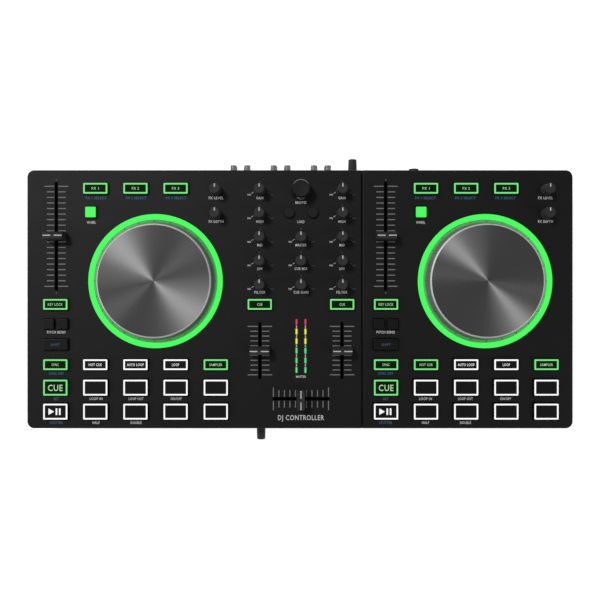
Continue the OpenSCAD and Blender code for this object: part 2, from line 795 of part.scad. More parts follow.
module usb_socket() color([0.8, 0.8, 0.82]) difference() {
    translate([usb_x - usb_w / 2, wall_y - usb_l, usb_z - usb_h / 2]) cube([usb_w, usb_l, usb_h]);
    translate([usb_x - usb_open_w / 2, wall_y - usb_open_l, usb_z - usb_open_h / 2])
        cube([usb_open_w, usb_open_l + 1, usb_open_h]);
}

left_top_panel();
right_top_panel();
bottom_case();
ring_lights();
circuit_boards();
tact_switches();
slide_pots();
rotary_pots();
jog_bearings();
rca_sockets();
jack_sockets();
usb_socket();
level_meter();
feet();
case_screws();
left_jog_wheel();
left_jog_plate();
right_jog_wheel();
right_jog_plate();
left_pitch_fader();
right_pitch_fader();
left_line_fader();
right_line_fader();
crossfader();
left_gain_knob();
left_high_knob();
left_mid_knob();
left_low_knob();
left_filter_knob();
right_gain_knob();
right_high_knob();
right_mid_knob();
right_low_knob();
right_filter_knob();
master_knob();
cue_mix_knob();
cue_gain_knob();
left_fx_level_knob();
left_fx_amount_knob();
right_fx_level_knob();
right_fx_amount_knob();
browse_knob();
phones_knob();
mic_knob();
left_fx_keys();
left_function_keys();
left_sync_key();
left_cue_key();
left_play_key();
left_mode_keys();
left_pads();
right_fx_keys();
right_function_keys();
right_sync_key();
right_cue_key();
right_play_key();
right_mode_keys();
right_pads();
channel_cue_keys();
load_keys();
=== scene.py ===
"""Two-deck controller: shells, lit keys, jog wheels, knobs, faders and print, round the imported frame."""
import json
import math

import bmesh
import bpy
from bpy.props import FloatProperty, FloatVectorProperty, IntProperty, PointerProperty
from mathutils import Matrix, Vector


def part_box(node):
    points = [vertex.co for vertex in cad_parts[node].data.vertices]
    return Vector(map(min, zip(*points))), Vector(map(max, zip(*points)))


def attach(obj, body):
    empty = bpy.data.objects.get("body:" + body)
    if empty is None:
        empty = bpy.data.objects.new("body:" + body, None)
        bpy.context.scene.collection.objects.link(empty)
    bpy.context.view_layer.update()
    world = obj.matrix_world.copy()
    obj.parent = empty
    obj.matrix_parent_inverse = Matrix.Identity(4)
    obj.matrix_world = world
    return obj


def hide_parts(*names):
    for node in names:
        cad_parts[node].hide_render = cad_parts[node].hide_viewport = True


bl_info = {
    "name": "Two-Deck Controller",
    "version": (1, 0, 0),
    "blender": (4, 5, 0),
    "location": "3D View > Sidebar > Controller",
    "description": "Builds the shells, keys, wheels, knobs, faders and print of a two-deck controller",
    "category": "Object",
}

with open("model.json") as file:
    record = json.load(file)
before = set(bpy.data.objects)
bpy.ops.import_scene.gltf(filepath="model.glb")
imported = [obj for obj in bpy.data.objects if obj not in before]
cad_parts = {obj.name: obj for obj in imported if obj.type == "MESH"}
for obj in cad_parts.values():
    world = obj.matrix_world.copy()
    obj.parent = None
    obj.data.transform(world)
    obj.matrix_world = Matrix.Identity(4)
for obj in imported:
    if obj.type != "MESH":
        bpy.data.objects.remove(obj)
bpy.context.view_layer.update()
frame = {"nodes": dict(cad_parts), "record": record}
MM = 0.001
SIDES = ("left", "right")
ADVANCE = 1.9 * MM       # width of a small capital with its gap
BIG_ADVANCE = 5.35 * MM  # and of a large one
BODY_OF = {n: b for b, ns in frame["record"]["behaviour"]["bodies"].items() for n in ns}
PANEL_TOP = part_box("left_top_panel")[1].z
CASE_LOW, CASE_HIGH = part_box("bottom_case")
TURN = 2 * math.pi
SMALL_KNOBS = [n for n in frame["nodes"]
               if n.endswith("_knob") and n not in ("browse_knob", "phones_knob", "mic_knob")]
MIXER_KNOBS = [n for n in SMALL_KNOBS if "_fx_" not in n]


def linear(r, g, b):
    """A colour given in screen values from 0 to 255, as linear light."""
    return tuple(c / 3294.6 if c <= 10.31 else ((c / 255 + 0.055) / 1.055) ** 2.4 for c in (r, g, b))


# ---------------------------------------------------------------- sizes and colours

def mm_size(name, description, value, low=0.0):
    """A length setting, given in millimetres and kept in metres."""
    return FloatProperty(name=name, description=description, default=value * MM, min=low * MM,
                         precision=5, subtype="DISTANCE", unit="LENGTH")


def colour(name, description, rgb):
    """A colour setting, given in screen values."""
    return FloatVectorProperty(name=name, description=description, default=linear(*rgb), size=3,
                               min=0.0, max=1.0, subtype="COLOR")


class ControllerSizes(bpy.types.PropertyGroup):
    """Sizes of what is built round the frame."""
    shell_round: mm_size("Shell round", "Radius of the case's outer top edge", 1.1)
    hole_round: mm_size("Hole round", "Radius of the edges of the panel's holes", 0.3)
    key_corner: mm_size("Key corner", "Radius of a key's corners, seen from above", 0.8)
    key_edge: mm_size("Key edge", "Radius of a key's top edge", 0.35)
    key_rim: mm_size("Key rim", "Width of the lit rim round a key's face", 1.5)
    key_light: mm_size("Key light depth", "How far a key's light guide stands above its dark body", 0.3)
    key_skirt: mm_size("Key skirt", "Width of the dark body left round a key's light guide", 0.42)
    key_recess: mm_size("Key recess", "How far a key's face lies below its rim", 0.12)
    print_rise: mm_size("Print thickness", "How far the print stands above its surface", 0.03)
    mark_width: mm_size("Mark width", "Width of a line of the fader scales", 0.9)
    label_height: mm_size("Label height", "Height of the small capitals", 2.7)
    big_label: mm_size("Big label height", "Height of the capitals on the cue key", 6.4)
    pointer_width: mm_size("Pointer width", "Width of a knob's pointer line", 1.1)
    knob_round: mm_size("Knob round", "Radius of a knob's top edge", 0.7)
    plate_chamfer: mm_size("Plate chamfer", "Width of the bright chamfer round a jog wheel's plate", 1.5)
    cap_saddle: mm_size("Cap saddle", "Depth of the finger hollow in a fader cap", 1.6)
    foot_round: mm_size("Foot round", "Radius of a rubber foot's edge", 1.0)
    plate_lay: FloatProperty(name="Plate lay", description="Degrees that the plates' tool marks lean",
                             default=20.0, min=-30.0, max=30.0)
    browse_facets: IntProperty(name="Browse facets", description="Flats round the browse knob",
                               default=12, min=6, max=24)
    scale_steps: IntProperty(name="Pitch steps", description="Intervals of a pitch fader's scale",
                             default=18, min=4, max=30)
    line_steps: IntProperty(name="Line steps", description="Intervals of a channel fader's scale",
                            default=10, min=4, max=20)


class ControllerColours(bpy.types.PropertyGroup):
    """Colours of the plastic, metal, lamps and print."""
    shell: colour("Shell", "Matte plastic of the case", (22, 22, 22))
    tray: colour("Tray", "Plastic of the bottom tray", (30, 30, 31))
    knob: colour("Knob", "Plastic of the knobs and fader caps", (7, 7, 7))
    metal: colour("Spun metal", "Top plates of the jog wheels", (150, 150, 150))
    lit_green: colour("Lit green", "Rings and green lamps", (76, 250, 98))
    rim_green: colour("Rim green", "Lit rims of the green keys", (126, 230, 134))
    face_green: colour("Face green", "Faces of the lit green keys", (0, 24, 3))
    side_green: colour("Side green", "Light that leaks down the sides of the green keys", (2, 44, 8))
    rim_white: colour("Rim white", "Lit rims of the white keys", (252, 252, 252))
    lamp_red: colour("Red lamp", "Top windows of the level meter", (214, 62, 104))
    lamp_yellow: colour("Yellow lamp", "Middle windows of the level meter", (238, 238, 70))
    lamp_green: colour("Green lamp", "Lower windows of the level meter", (96, 226, 138))
    print_white: colour("White print", "Labels on the panels", (205, 205, 205))
    print_grey: colour("Grey print", "Fader scales", (150, 150, 150))
    # The dim grey is painted shade: it paints the knobs' shade onto the right-hand marks and MAX words, whose
    # ink is white. The tick above a knob takes it too.
    print_painted_shade: colour("Dim print", "Right-hand marks of the knobs", (92, 92, 92))
    print_blue: colour("Blue print", "Second labels", (72, 98, 142))


def sizes():
    return bpy.context.scene.controller_sizes


def colours():
    return bpy.context.scene.controller_colours


# ---------------------------------------------------------------- materials

def node_group(name, inputs, outputs):
    """A new shader node group with the given float or colour sockets."""
    group = bpy.data.node_groups.new(name, "ShaderNodeTree")
    kinds = {"f": "NodeSocketFloat", "c": "NodeSocketColor", "v": "NodeSocketVector"}
    for socket, kind in inputs:
        group.interface.new_socket(socket, in_out="INPUT", socket_type=kinds[kind])
    for socket, kind in outputs:
        group.interface.new_socket(socket, in_out="OUTPUT", socket_type=kinds[kind])
    return group, group.nodes.new("NodeGroupInput"), group.nodes.new("NodeGroupOutput")


def add(tree, kind, **values):
    """Adds a node. Keywords set its attributes; a tuple value sets the input of that number."""
    node = tree.nodes.new(kind)
    for key, value in values.items():
        if key.startswith("in_"):
            node.inputs[int(key[3:])].default_value = value
        else:
            setattr(node, key, value)
    return node


def grain_group():
    """Moulded grain: fine noise for height, a coarse one for colour and roughness."""
    if "moulded_grain" in bpy.data.node_groups:
        return bpy.data.node_groups["moulded_grain"]
    group, inp, out = node_group(
        "moulded_grain",
        [("Colour", "c"), ("Spread", "f"), ("Roughness", "f"), ("Rough Spread", "f"), ("Grain", "f")],
        [("Colour", "c"), ("Roughness", "f"), ("Height", "f")])
    link = group.links.new
    place = add(group, "ShaderNodeTexCoord")
    coarse = add(group, "ShaderNodeTexNoise", in_2=60.0, in_3=4.0)
    fine = add(group, "ShaderNodeTexNoise", in_3=2.0)
    link(place.outputs["Object"], coarse.inputs["Vector"])
    link(place.outputs["Object"], fine.inputs["Vector"])
    link(inp.outputs["Grain"], fine.inputs["Scale"])
    centred = add(group, "ShaderNodeMath", operation="SUBTRACT", in_1=0.5)
    link(coarse.outputs["Fac"], centred.inputs[0])
    tint = add(group, "ShaderNodeMath", operation="MULTIPLY_ADD", in_2=1.0)
    link(centred.outputs[0], tint.inputs[0])
    link(inp.outputs["Spread"], tint.inputs[1])
    mixed = add(group, "ShaderNodeVectorMath", operation="SCALE")
    link(inp.outputs["Colour"], mixed.inputs[0])
    link(tint.outputs[0], mixed.inputs["Scale"])
    rough = add(group, "ShaderNodeMath", operation="MULTIPLY_ADD")
    link(centred.outputs[0], rough.inputs[0])
    link(inp.outputs["Rough Spread"], rough.inputs[1])
    link(inp.outputs["Roughness"], rough.inputs[2])
    link(mixed.outputs[0], out.inputs["Colour"])
    link(rough.outputs[0], out.inputs["Roughness"])
    link(fine.outputs["Fac"], out.inputs["Height"])
    return group


def new_material(name):
    material = bpy.data.materials.new(name)
    material.use_nodes = True
    return material, material.node_tree, material.node_tree.nodes["Principled BSDF"]


def moulded(name, rgb, rough=0.5, spread=0.25, rough_spread=0.12, grain=2500.0, bump=0.05, specular=0.5,
            metallic=0.0, coat=0.0):
    """Plastic, rubber or plain metal with moulded grain."""
    if name in bpy.data.materials:
        return bpy.data.materials[name]
    material, tree, shader = new_material(name)
    shader.inputs["Specular IOR Level"].default_value = specular
    shader.inputs["Metallic"].default_value = metallic
    shader.inputs["Coat Weight"].default_value = coat
    shader.inputs["Coat Roughness"].default_value = 0.12
    grained = add(tree, "ShaderNodeGroup", node_tree=grain_group())
    grained.inputs["Colour"].default_value = (*rgb, 1.0)
    for socket, value in (("Spread", spread), ("Roughness", rough), ("Rough Spread", rough_spread),
                          ("Grain", grain)):
        grained.inputs[socket].default_value = value
    bumped = add(tree, "ShaderNodeBump")
    bumped.inputs["Strength"].default_value = bump
    bumped.inputs["Distance"].default_value = 0.1 * MM
    tree.links.new(grained.outputs["Colour"], shader.inputs["Base Color"])
    tree.links.new(grained.outputs["Roughness"], shader.inputs["Roughness"])
    tree.links.new(grained.outputs["Height"], bumped.inputs["Height"])
    tree.links.new(bumped.outputs["Normal"], shader.inputs["Normal"])
    return material


def lamp_group():
    """A lit face that is a little brighter in places, as a light guide is."""
    if "light_guide" in bpy.data.node_groups:
        return bpy.data.node_groups["light_guide"]
    group, inp, out = node_group("light_guide", [("Colour", "c"), ("Unevenness", "f")], [("Colour", "c")])
    place = add(group, "ShaderNodeTexCoord")
    noise = add(group, "ShaderNodeTexNoise", in_2=45.0, in_3=2.0)
    level = add(group, "ShaderNodeMath", operation="MULTIPLY_ADD", in_2=1.0)
    centred = add(group, "ShaderNodeMath", operation="SUBTRACT", in_1=0.5)
    scaled = add(group, "ShaderNodeVectorMath", operation="SCALE")
    link = group.links.new
    link(place.outputs["Object"], noise.inputs["Vector"])
    link(noise.outputs["Fac"], centred.inputs[0])
    link(centred.outputs[0], level.inputs[0])
    link(inp.outputs["Unevenness"], level.inputs[1])
    link(inp.outputs["Colour"], scaled.inputs[0])
    link(level.outputs[0], scaled.inputs["Scale"])
    link(scaled.outputs[0], out.inputs["Colour"])
    return group


def lamp(name, rgb, strength=1.0, uneven=0.08, base=0.02):
    """A lit light guide or window."""
    if name in bpy.data.materials:
        return bpy.data.materials[name]
    material, tree, shader = new_material(name)
    guide = add(tree, "ShaderNodeGroup", node_tree=lamp_group())
    guide.inputs["Colour"].default_value = (*rgb, 1.0)
    guide.inputs["Unevenness"].default_value = uneven
    tree.links.new(guide.outputs["Colour"], shader.inputs["Emission Color"])
    shader.inputs["Emission Strength"].default_value = strength
    shader.inputs["Base Color"].default_value = (*[base * c for c in rgb], 1.0)
    shader.inputs["Roughness"].default_value = 0.35
    shader.inputs["Specular IOR Level"].default_value = 0.2
    return material


def spun_metal(name, rgb, centre, lay):
    """Metal turned on a lathe: fine rings round the centre, with the stretched highlight that they give.

    The lay is the small angle by which the tool marks lean from a true ring.
    """
    if name in bpy.data.materials:
        return bpy.data.materials[name]
    material, tree, shader = new_material(name)
    link = tree.links.new
    place = add(tree, "ShaderNodeTexCoord")
    from_centre = add(tree, "ShaderNodeVectorMath", operation="SUBTRACT")
    from_centre.inputs[1].default_value = (centre[0], centre[1], 0)
    link(place.outputs["Object"], from_centre.inputs[0])
    flat = add(tree, "ShaderNodeVectorMath", operation="MULTIPLY")
    flat.inputs[1].default_value = (1, 1, 0)
    link(from_centre.outputs[0], flat.inputs[0])
    leaned = add(tree, "ShaderNodeVectorRotate", rotation_type="Z_AXIS")
    leaned.inputs["Angle"].default_value = lay
    link(flat.outputs[0], leaned.inputs["Vector"])
    turned = add(tree, "ShaderNodeVectorTransform", vector_type="VECTOR", convert_from="OBJECT",
                 convert_to="WORLD")
    link(leaned.outputs[0], turned.inputs[0])
    link(turned.outputs[0], shader.inputs["Tangent"])
    radius = add(tree, "ShaderNodeVectorMath", operation="LENGTH")
    link(flat.outputs[0], radius.inputs[0])
    rings = add(tree, "ShaderNodeTexNoise", noise_dimensions="1D", in_2=2600.0, in_3=3.0)
    link(radius.outputs["Value"], rings.inputs["W"])
    tone = add(tree, "ShaderNodeMapRange", in_1=0.25, in_2=0.75, in_3=0.86, in_4=1.12)
    link(rings.outputs["Fac"], tone.inputs[0])
    base = add(tree, "ShaderNodeVectorMath", operation="SCALE")
    base.inputs[0].default_value = rgb
    link(tone.outputs[0], base.inputs["Scale"])
    link(base.outputs[0], shader.inputs["Base Color"])
    rough = add(tree, "ShaderNodeMapRange", in_1=0.2, in_2=0.8, in_3=0.46, in_4=0.54)
    link(rings.outputs["Fac"], rough.inputs[0])
    link(rough.outputs[0], shader.inputs["Roughness"])
    shader.inputs["Metallic"].default_value = 1.0
    shader.inputs["Anisotropic"].default_value = 0.95
    return material


def circuit_board_material():
    """Green solder mask with lighter tracks."""
    if "board_mask" in bpy.data.materials:
        return bpy.data.materials["board_mask"]
    material, tree, shader = new_material("board_mask")
    link = tree.links.new
    place = add(tree, "ShaderNodeTexCoord")
    tracks = add(tree, "ShaderNodeTexBrick", in_5=300.0, in_6=0.05)
    tracks.inputs["Color1"].default_value = (*linear(18, 84, 48), 1)
    tracks.inputs["Color2"].default_value = (*linear(14, 70, 40), 1)
    tracks.inputs["Mortar"].default_value = (*linear(60, 130, 80), 1)
    link(place.outputs["Object"], tracks.inputs["Vector"])
    link(tracks.outputs["Color"], shader.inputs["Base Color"])
    shader.inputs["Roughness"].default_value = 0.35
    return material


def shell_black():
    return moulded("shell_black", colours().shell, rough=0.55, spread=0.14, grain=3200.0, bump=0.08,
                   specular=0.3)


def tray_black():
    return moulded("tray_black", colours().tray, rough=0.6, spread=0.2, grain=2600.0, bump=0.2, specular=0.3)


def knob_black():
    return moulded("knob_black", colours().knob, rough=0.3, spread=0.15, rough_spread=0.05, grain=2200.0,
                   bump=0.01,
                    specular=0.22)


def face_black():
    return moulded("face_black", linear(20, 20, 20), rough=0.45, spread=0.1, grain=2000.0, bump=0.03,
                   specular=0.25)


# A non-zero painted_glow makes the print give off light in its own colour: painted light, as print is no
# lamp.
def printed(name, rgb, painted_glow=0.0):
    material = moulded(name, rgb, rough=0.6, spread=0.12, grain=4000.0, bump=0.02, specular=0.2)
    if painted_glow:
        shader = material.node_tree.nodes["Principled BSDF"]
        shader.inputs["Emission Color"].default_value = (*rgb, 1.0)
        shader.inputs["Emission Strength"].default_value = painted_glow
    return material


# ---------------------------------------------------------------- making pieces

def finish_piece(name, bm, body, material, replaces=(), smooth=35.0):
    """Makes an object of the bmesh, gives it its material and body, and shades it smooth below an angle.

    Faces square to an axis stay flat, so that no rounded edge bends the light on them.
    """
    mesh = bpy.data.meshes.new(name)
    bm.to_mesh(mesh)
    bm.free()
    mesh.set_sharp_from_angle(angle=math.radians(smooth))
    mesh.polygons.foreach_set("use_smooth", [max(map(abs, p.normal)) < 0.99999 for p in mesh.polygons])
    piece = bpy.data.objects.new(name, mesh)
    bpy.context.scene.collection.objects.link(piece)
    mesh.materials.append(material)
    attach(piece, body)
    if replaces:
        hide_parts(*replaces)
    return piece


def dress(node, material):
    """Gives a carried-over node a better material."""
    mesh = frame["nodes"][node].data
    mesh.materials.clear()
    mesh.materials.append(material)


def merge_in(bm, part):
    """Adds one bmesh to another and frees it."""
    mesh = bpy.data.meshes.new("part")
    part.to_mesh(mesh)
    part.free()
    bm.from_mesh(mesh)
    bpy.data.meshes.remove(mesh)


def cad_copy(node):
    """A merged copy of a node's mesh, with its flat faces whole again."""
    bm = bmesh.new()
    bm.from_mesh(frame["nodes"][node].data)
    bmesh.ops.remove_doubles(bm, verts=bm.verts, dist=0.001 * MM)
    bmesh.ops.dissolve_limit(bm, angle_limit=math.radians(0.5), verts=bm.verts, edges=bm.edges,
                             delimit={"NORMAL"})
    return bm


def sharp_edges(bm, angle=35.0):
    limit = math.radians(angle)
    return [e for e in bm.edges if e.is_manifold and e.calc_face_angle(0.0) > limit]


def bevel(bm, edges, width, segments=3):
    return bmesh.ops.bevel(bm, geom=edges, offset=width, offset_type="OFFSET", segments=segments, profile=0.5,
                           affect="EDGES", clamp_overlap=True, material=-1)


def on_outline(edge, corner=9 * MM):
    """Whether an edge lies on the case's outline, seen from above."""
    for v in edge.verts:
        x = min(v.co.x - CASE_LOW.x, CASE_HIGH.x - v.co.x)
        y = min(v.co.y - CASE_LOW.y, CASE_HIGH.y - v.co.y)
        if min(x, y) > 0.01 * MM and max(x, y) > corner:
            return False
    return True


def block(low, high, corner=0.0, edge=0.0, bottom_edge=0.0):
    """A box with rounded corners seen from above, a rounded top edge and, if asked, a rounded bottom edge."""
    bm = bmesh.new()
    low, high = Vector(low), Vector(high)
    bmesh.ops.create_cube(bm, size=1.0)
    bmesh.ops.scale(bm, vec=high - low, verts=bm.verts)
    bmesh.ops.translate(bm, vec=(low + high) / 2, verts=bm.verts)
    if corner:
        upright = [e for e in bm.edges if abs(e.verts[0].co.z - e.verts[1].co.z) > 1e-7]
        bevel(bm, upright, corner, 3)
    for size, z in ((edge, high.z), (bottom_edge, low.z)):
        if size:
            level = [e for e in bm.edges if all(abs(v.co.z - z) < 1e-7 for v in e.verts)]
            bevel(bm, level, size, 2)
    return bm


def turned(profile, segments=48, centre=(0, 0, 0)):
    """A solid turned round Z from a profile of (radius, height) points, from the axis back to the axis."""
    bm = bmesh.new()
    verts = [bm.verts.new((r, 0, z)) for r, z in profile]
    edges = [bm.edges.new(pair) for pair in zip(verts, verts[1:])]
    bmesh.ops.spin(bm, geom=verts + edges, axis=(0, 0, 1), cent=(0, 0, 0), dvec=(0, 0, 0), angle=TURN,
                   steps=segments, use_merge=True, use_duplicate=False)
    bmesh.ops.remove_doubles(bm, verts=bm.verts, dist=1e-7)
    bmesh.ops.recalc_face_normals(bm, faces=bm.faces)
    bmesh.ops.translate(bm, vec=centre, verts=bm.verts)
    return bm


def rounded(points, radius, steps=3):
    """A profile whose middle points are rounded off by the given radius."""
    out = [points[0]]
    for before, at, after in zip(points, points[1:], points[2:]):
        a, p, b = Vector(before), Vector(at), Vector(after)
        back, ahead = a - p, b - p
        reach = min(radius, back.length * 0.45, ahead.length * 0.45)
        start, end = p + back.normalized() * reach, p + ahead.normalized() * reach
        for i in range(steps + 1):
            t = i / steps
            q = start * (1 - t) ** 2 + p * 2 * t * (1 - t) + end * t ** 2
            out.append((q.x, q.y))
    return out + [points[-1]]


def tops(node):
    """The flat areas at a node's highest level, each as (low corner, high corner), back row first."""
    mesh = frame["nodes"][node].data
    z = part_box(node)[1].z
    bm = bmesh.new()
    bm.from_mesh(mesh)
    bmesh.ops.remove_doubles(bm, verts=bm.verts, dist=0.001 * MM)
    left = {f for f in bm.faces if all(abs(v.co.z - z) < 0.002 * MM for v in f.verts)}
    areas = []
    while left:
        stack, found = [left.pop()], []
        while stack:
            face = stack.pop()
            found += [v.co for v in face.verts]
            for e in face.edges:
                for other in e.link_faces:
                    if other in left:
                        left.remove(other)
                        stack.append(other)
        xs, ys = [c.x for c in found], [c.y for c in found]
        areas.append((Vector((min(xs), min(ys), z)), Vector((max(xs), max(ys), z))))
    bm.free()
    return sorted(areas, key=lambda a: (-round(a[0].y / MM), a[0].x))


def middle(area):
    return (area[0] + area[1]) / 2


def lettering(text, place, height, z, advance, weight=0.0):
    """Flat lettering of that capital height and width per letter, centred on a place, a little above z."""
    curve = bpy.data.curves.new("lettering", "FONT")
    curve.body = text
    curve.size = height / 0.73
    curve.align_x = "CENTER"
    curve.space_character = 1.12
    curve.resolution_u = 2
    curve.offset = weight
    curve.extrude = sizes().print_rise
    piece = bpy.data.objects.new("lettering", curve)
    bpy.context.scene.collection.objects.link(piece)
    bpy.context.view_layer.update()
    mesh = bpy.data.meshes.new_from_object(piece.evaluated_get(bpy.context.evaluated_depsgraph_get()))
    bpy.data.objects.remove(piece)
    bpy.data.curves.remove(curve)
    bm = bmesh.new()
    bm.from_mesh(mesh)
    bpy.data.meshes.remove(mesh)
    bmesh.ops.remove_doubles(bm, verts=bm.verts, dist=1e-7)
    left, right = min(v.co.x for v in bm.verts), max(v.co.x for v in bm.verts)
    bmesh.ops.translate(bm, vec=(-(left + right) / 2, -height / 2, 0), verts=bm.verts)
    bmesh.ops.scale(bm, vec=(advance * (len(text) - 0.25) / (right - left), 1, 1), verts=bm.verts)
    bmesh.ops.translate(bm, vec=(place[0], place[1], z), verts=bm.verts)
    return bm


def stroke(start, end, width, z):
    """A flat printed line from one place to another."""
    a, b = Vector(start).to_2d(), Vector(end).to_2d()
    rise = sizes().print_rise
    bm = bmesh.new()
    bmesh.ops.create_cube(bm, size=1.0)
    bmesh.ops.scale(bm, vec=((b - a).length, width, 2 * rise), verts=bm.verts)
    angle = math.atan2(b.y - a.y, b.x - a.x)
    bmesh.ops.rotate(bm, cent=(0, 0, 0), matrix=Matrix.Rotation(angle, 3, "Z"), verts=bm.verts)
    bmesh.ops.translate(bm, vec=(*((a + b) / 2), z), verts=bm.verts)
    return bm


def triangle(place, size, angle, z):
    """A small printed triangle that points the given way."""
    bm = bmesh.new()
    bmesh.ops.create_cone(bm, cap_ends=True, segments=3, radius1=size, radius2=size,
                          depth=2 * sizes().print_rise)
    bmesh.ops.rotate(bm, cent=(0, 0, 0), matrix=Matrix.Rotation(angle - math.pi / 2, 3, "Z"), verts=bm.verts)
    bmesh.ops.translate(bm, vec=(place[0], place[1], z), verts=bm.verts)
    return bm


class Collector:
    """Gathers small shapes of one colour on one body into one piece."""

    def __init__(self):
        self.bm = bmesh.new()

    def take(self, part):
        merge_in(self.bm, part)

    def piece(self, name, body, material, slot, smooth=35.0):
        if self.bm.verts:
            return finish_piece(name, self.bm, body, material, smooth=smooth)
        return None


# ---------------------------------------------------------------- the case

class CONTROLLER_OT_panels(bpy.types.Operator):
    """Build the two top panels with rounded edges"""
    bl_idname = "controller.panels"
    bl_label = "Top Panels"
    bl_options = {"REGISTER", "UNDO"}

    def execute(self, context):
        for side in SIDES:
            node = side + "_top_panel"
            bm = cad_copy(node)
            edges = [e for e in sharp_edges(bm) if all(abs(v.co.z - PANEL_TOP) < 1e-6 for v in e.verts)]
            outline = [e for e in edges if on_outline(e)]
            holes = [e for e in edges if not on_outline(e)]
            bevel(bm, outline, sizes().shell_round, 4)
            bevel(bm, [e for e in holes if e.is_valid], sizes().hole_round, 2)
            finish_piece(node + "_shell", bm, "case", shell_black(), [node])
        self.seam_ends()
        return {"FINISHED"}

    @staticmethod
    def seam_ends():
        """Small dark stops that close the seam between the panels at the front and back."""
        low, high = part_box("right_top_panel")
        gap, length, drop = 1.2 * MM, 4 * MM, 0.9 * MM
        stops = bmesh.new()
        for y in (low.y + length / 2 + 0.3 * MM, high.y - length / 2 - 0.3 * MM):
            merge_in(stops, block((low.x - gap, y - length / 2, PANEL_TOP - 3 * MM),
                                  (low.x - 0.01 * MM, y + length / 2, PANEL_TOP - drop), 0, 0.1 * MM))
        finish_piece("seam_stops", stops, "case", shell_black())


class CONTROLLER_OT_tray(bpy.types.Operator):
    """Build the bottom tray, its feet and its screws"""
    bl_idname = "controller.tray"
    bl_label = "Bottom Tray"
    bl_options = {"REGISTER", "UNDO"}

    def execute(self, context):
        bm = cad_copy("bottom_case")
        rim = [e for e in sharp_edges(bm)
               if on_outline(e) and all(abs(v.co.z - CASE_LOW.z) < 1e-6 for v in e.verts)]
        bevel(bm, rim, sizes().shell_round, 3)
        finish_piece("tray", bm, "case", tray_black(), ["bottom_case"])
        self.feet()
        dress("case_screws", moulded("screw_black", linear(70, 70, 72), rough=0.35, metallic=0.9, bump=0.05))
        return {"FINISHED"}

    def feet(self):
        bm = bmesh.new()
        rubber = moulded("foot_rubber", linear(32, 32, 32), rough=0.8, spread=0.3, grain=1500.0, bump=0.3)
        low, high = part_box("feet")
        spots = tops("feet")
        radius = (spots[0][1].x - spots[0][0].x) / 2
        height = high.z - low.z
        profile = rounded([(0, 0), (radius - 1 * MM, 0), (radius, height * 0.3), (radius, height), (0,
                                                                                                    height)],
                          sizes().foot_round)
        for area in spots:
            merge_in(bm, turned(profile, 40, (*middle(area).to_2d(), low.z)))
        finish_piece("rubber_feet", bm, "case", rubber, ["feet"])


# ---------------------------------------------------------------- jog wheels

class CONTROLLER_OT_jog_wheels(bpy.types.Operator):
    """Build the jog wheels, their spun metal plates and the lit rings"""
    bl_idname = "controller.jog_wheels"
    bl_label = "Jog Wheels"
    bl_options = {"REGISTER", "UNDO"}

    def execute(self, context):
        dress("ring_lights", lamp("ring_green", colours().lit_green, 1.0, 0.05))
        # The skirt's light grey-green base is a painted reflection: it stands in for the green ring and the
        # light seen in the clear skirt. The gloss itself is real.
        gloss_and_painted_reflection = moulded("wheel_gloss_painted_reflection", linear(150, 168, 152), rough=0.16, spread=0.3, rough_spread=0.08,
                        bump=0.01,
                        metallic=0.4)
        for side in SIDES:
            dress(side + "_jog_wheel", gloss_and_painted_reflection)
            low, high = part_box(side + "_jog_plate")
            centre = (low + high) / 2
            radius = (high.x - low.x) / 2
            thick = high.z - low.z
            chamfer = sizes().plate_chamfer
            disc = turned(rounded([(0, 0), (radius - chamfer, 0), (radius - chamfer, -0.15 * MM),
                                   (radius - chamfer - 0.4 * MM, -0.5 * MM), (0, -0.5 * MM)], 0.04 * MM, 2),
                          128, (centre.x, centre.y, high.z))
            metal = spun_metal(side + "_spun_metal", tuple(colours().metal), centre,
                               math.radians(sizes().plate_lay * (-1 if side == "left" else 1)))
            finish_piece(side + "_jog_disc", disc, side + "_jog", metal)
            rim = turned([(0, 0.0), (radius - 0.2 * MM, 0.0), (radius, 0.2 * MM), (radius, thick * 0.45),
                          (radius - 0.1 * MM, thick * 0.52), (radius - chamfer + 0.05 * MM,
                                                              thick - 0.02 * MM),
                          (radius - chamfer - 0.1 * MM, thick - 0.3 * MM), (0, thick - 0.45 * MM)],
                         128, (centre.x, centre.y, low.z))
            # The chamfer is bright metal. Its near-white, half matte base is a painted highlight that keeps
            # it lit on every side.
            bright = moulded("rim_metal_and_painted_highlight", linear(235, 235, 235), rough=0.5, spread=0.05, rough_spread=0.05,
                             bump=0.01, metallic=0.35)
            finish_piece(side + "_jog_rim", rim, side + "_jog", bright, [side + "_jog_plate"])
        return {"FINISHED"}


# ---------------------------------------------------------------- knobs

POINTER_RISE = 0.08 * MM    # room left above a knob for its pointer line
SHAFT_R = 2.95 * MM         # radius of the shaft under a knob


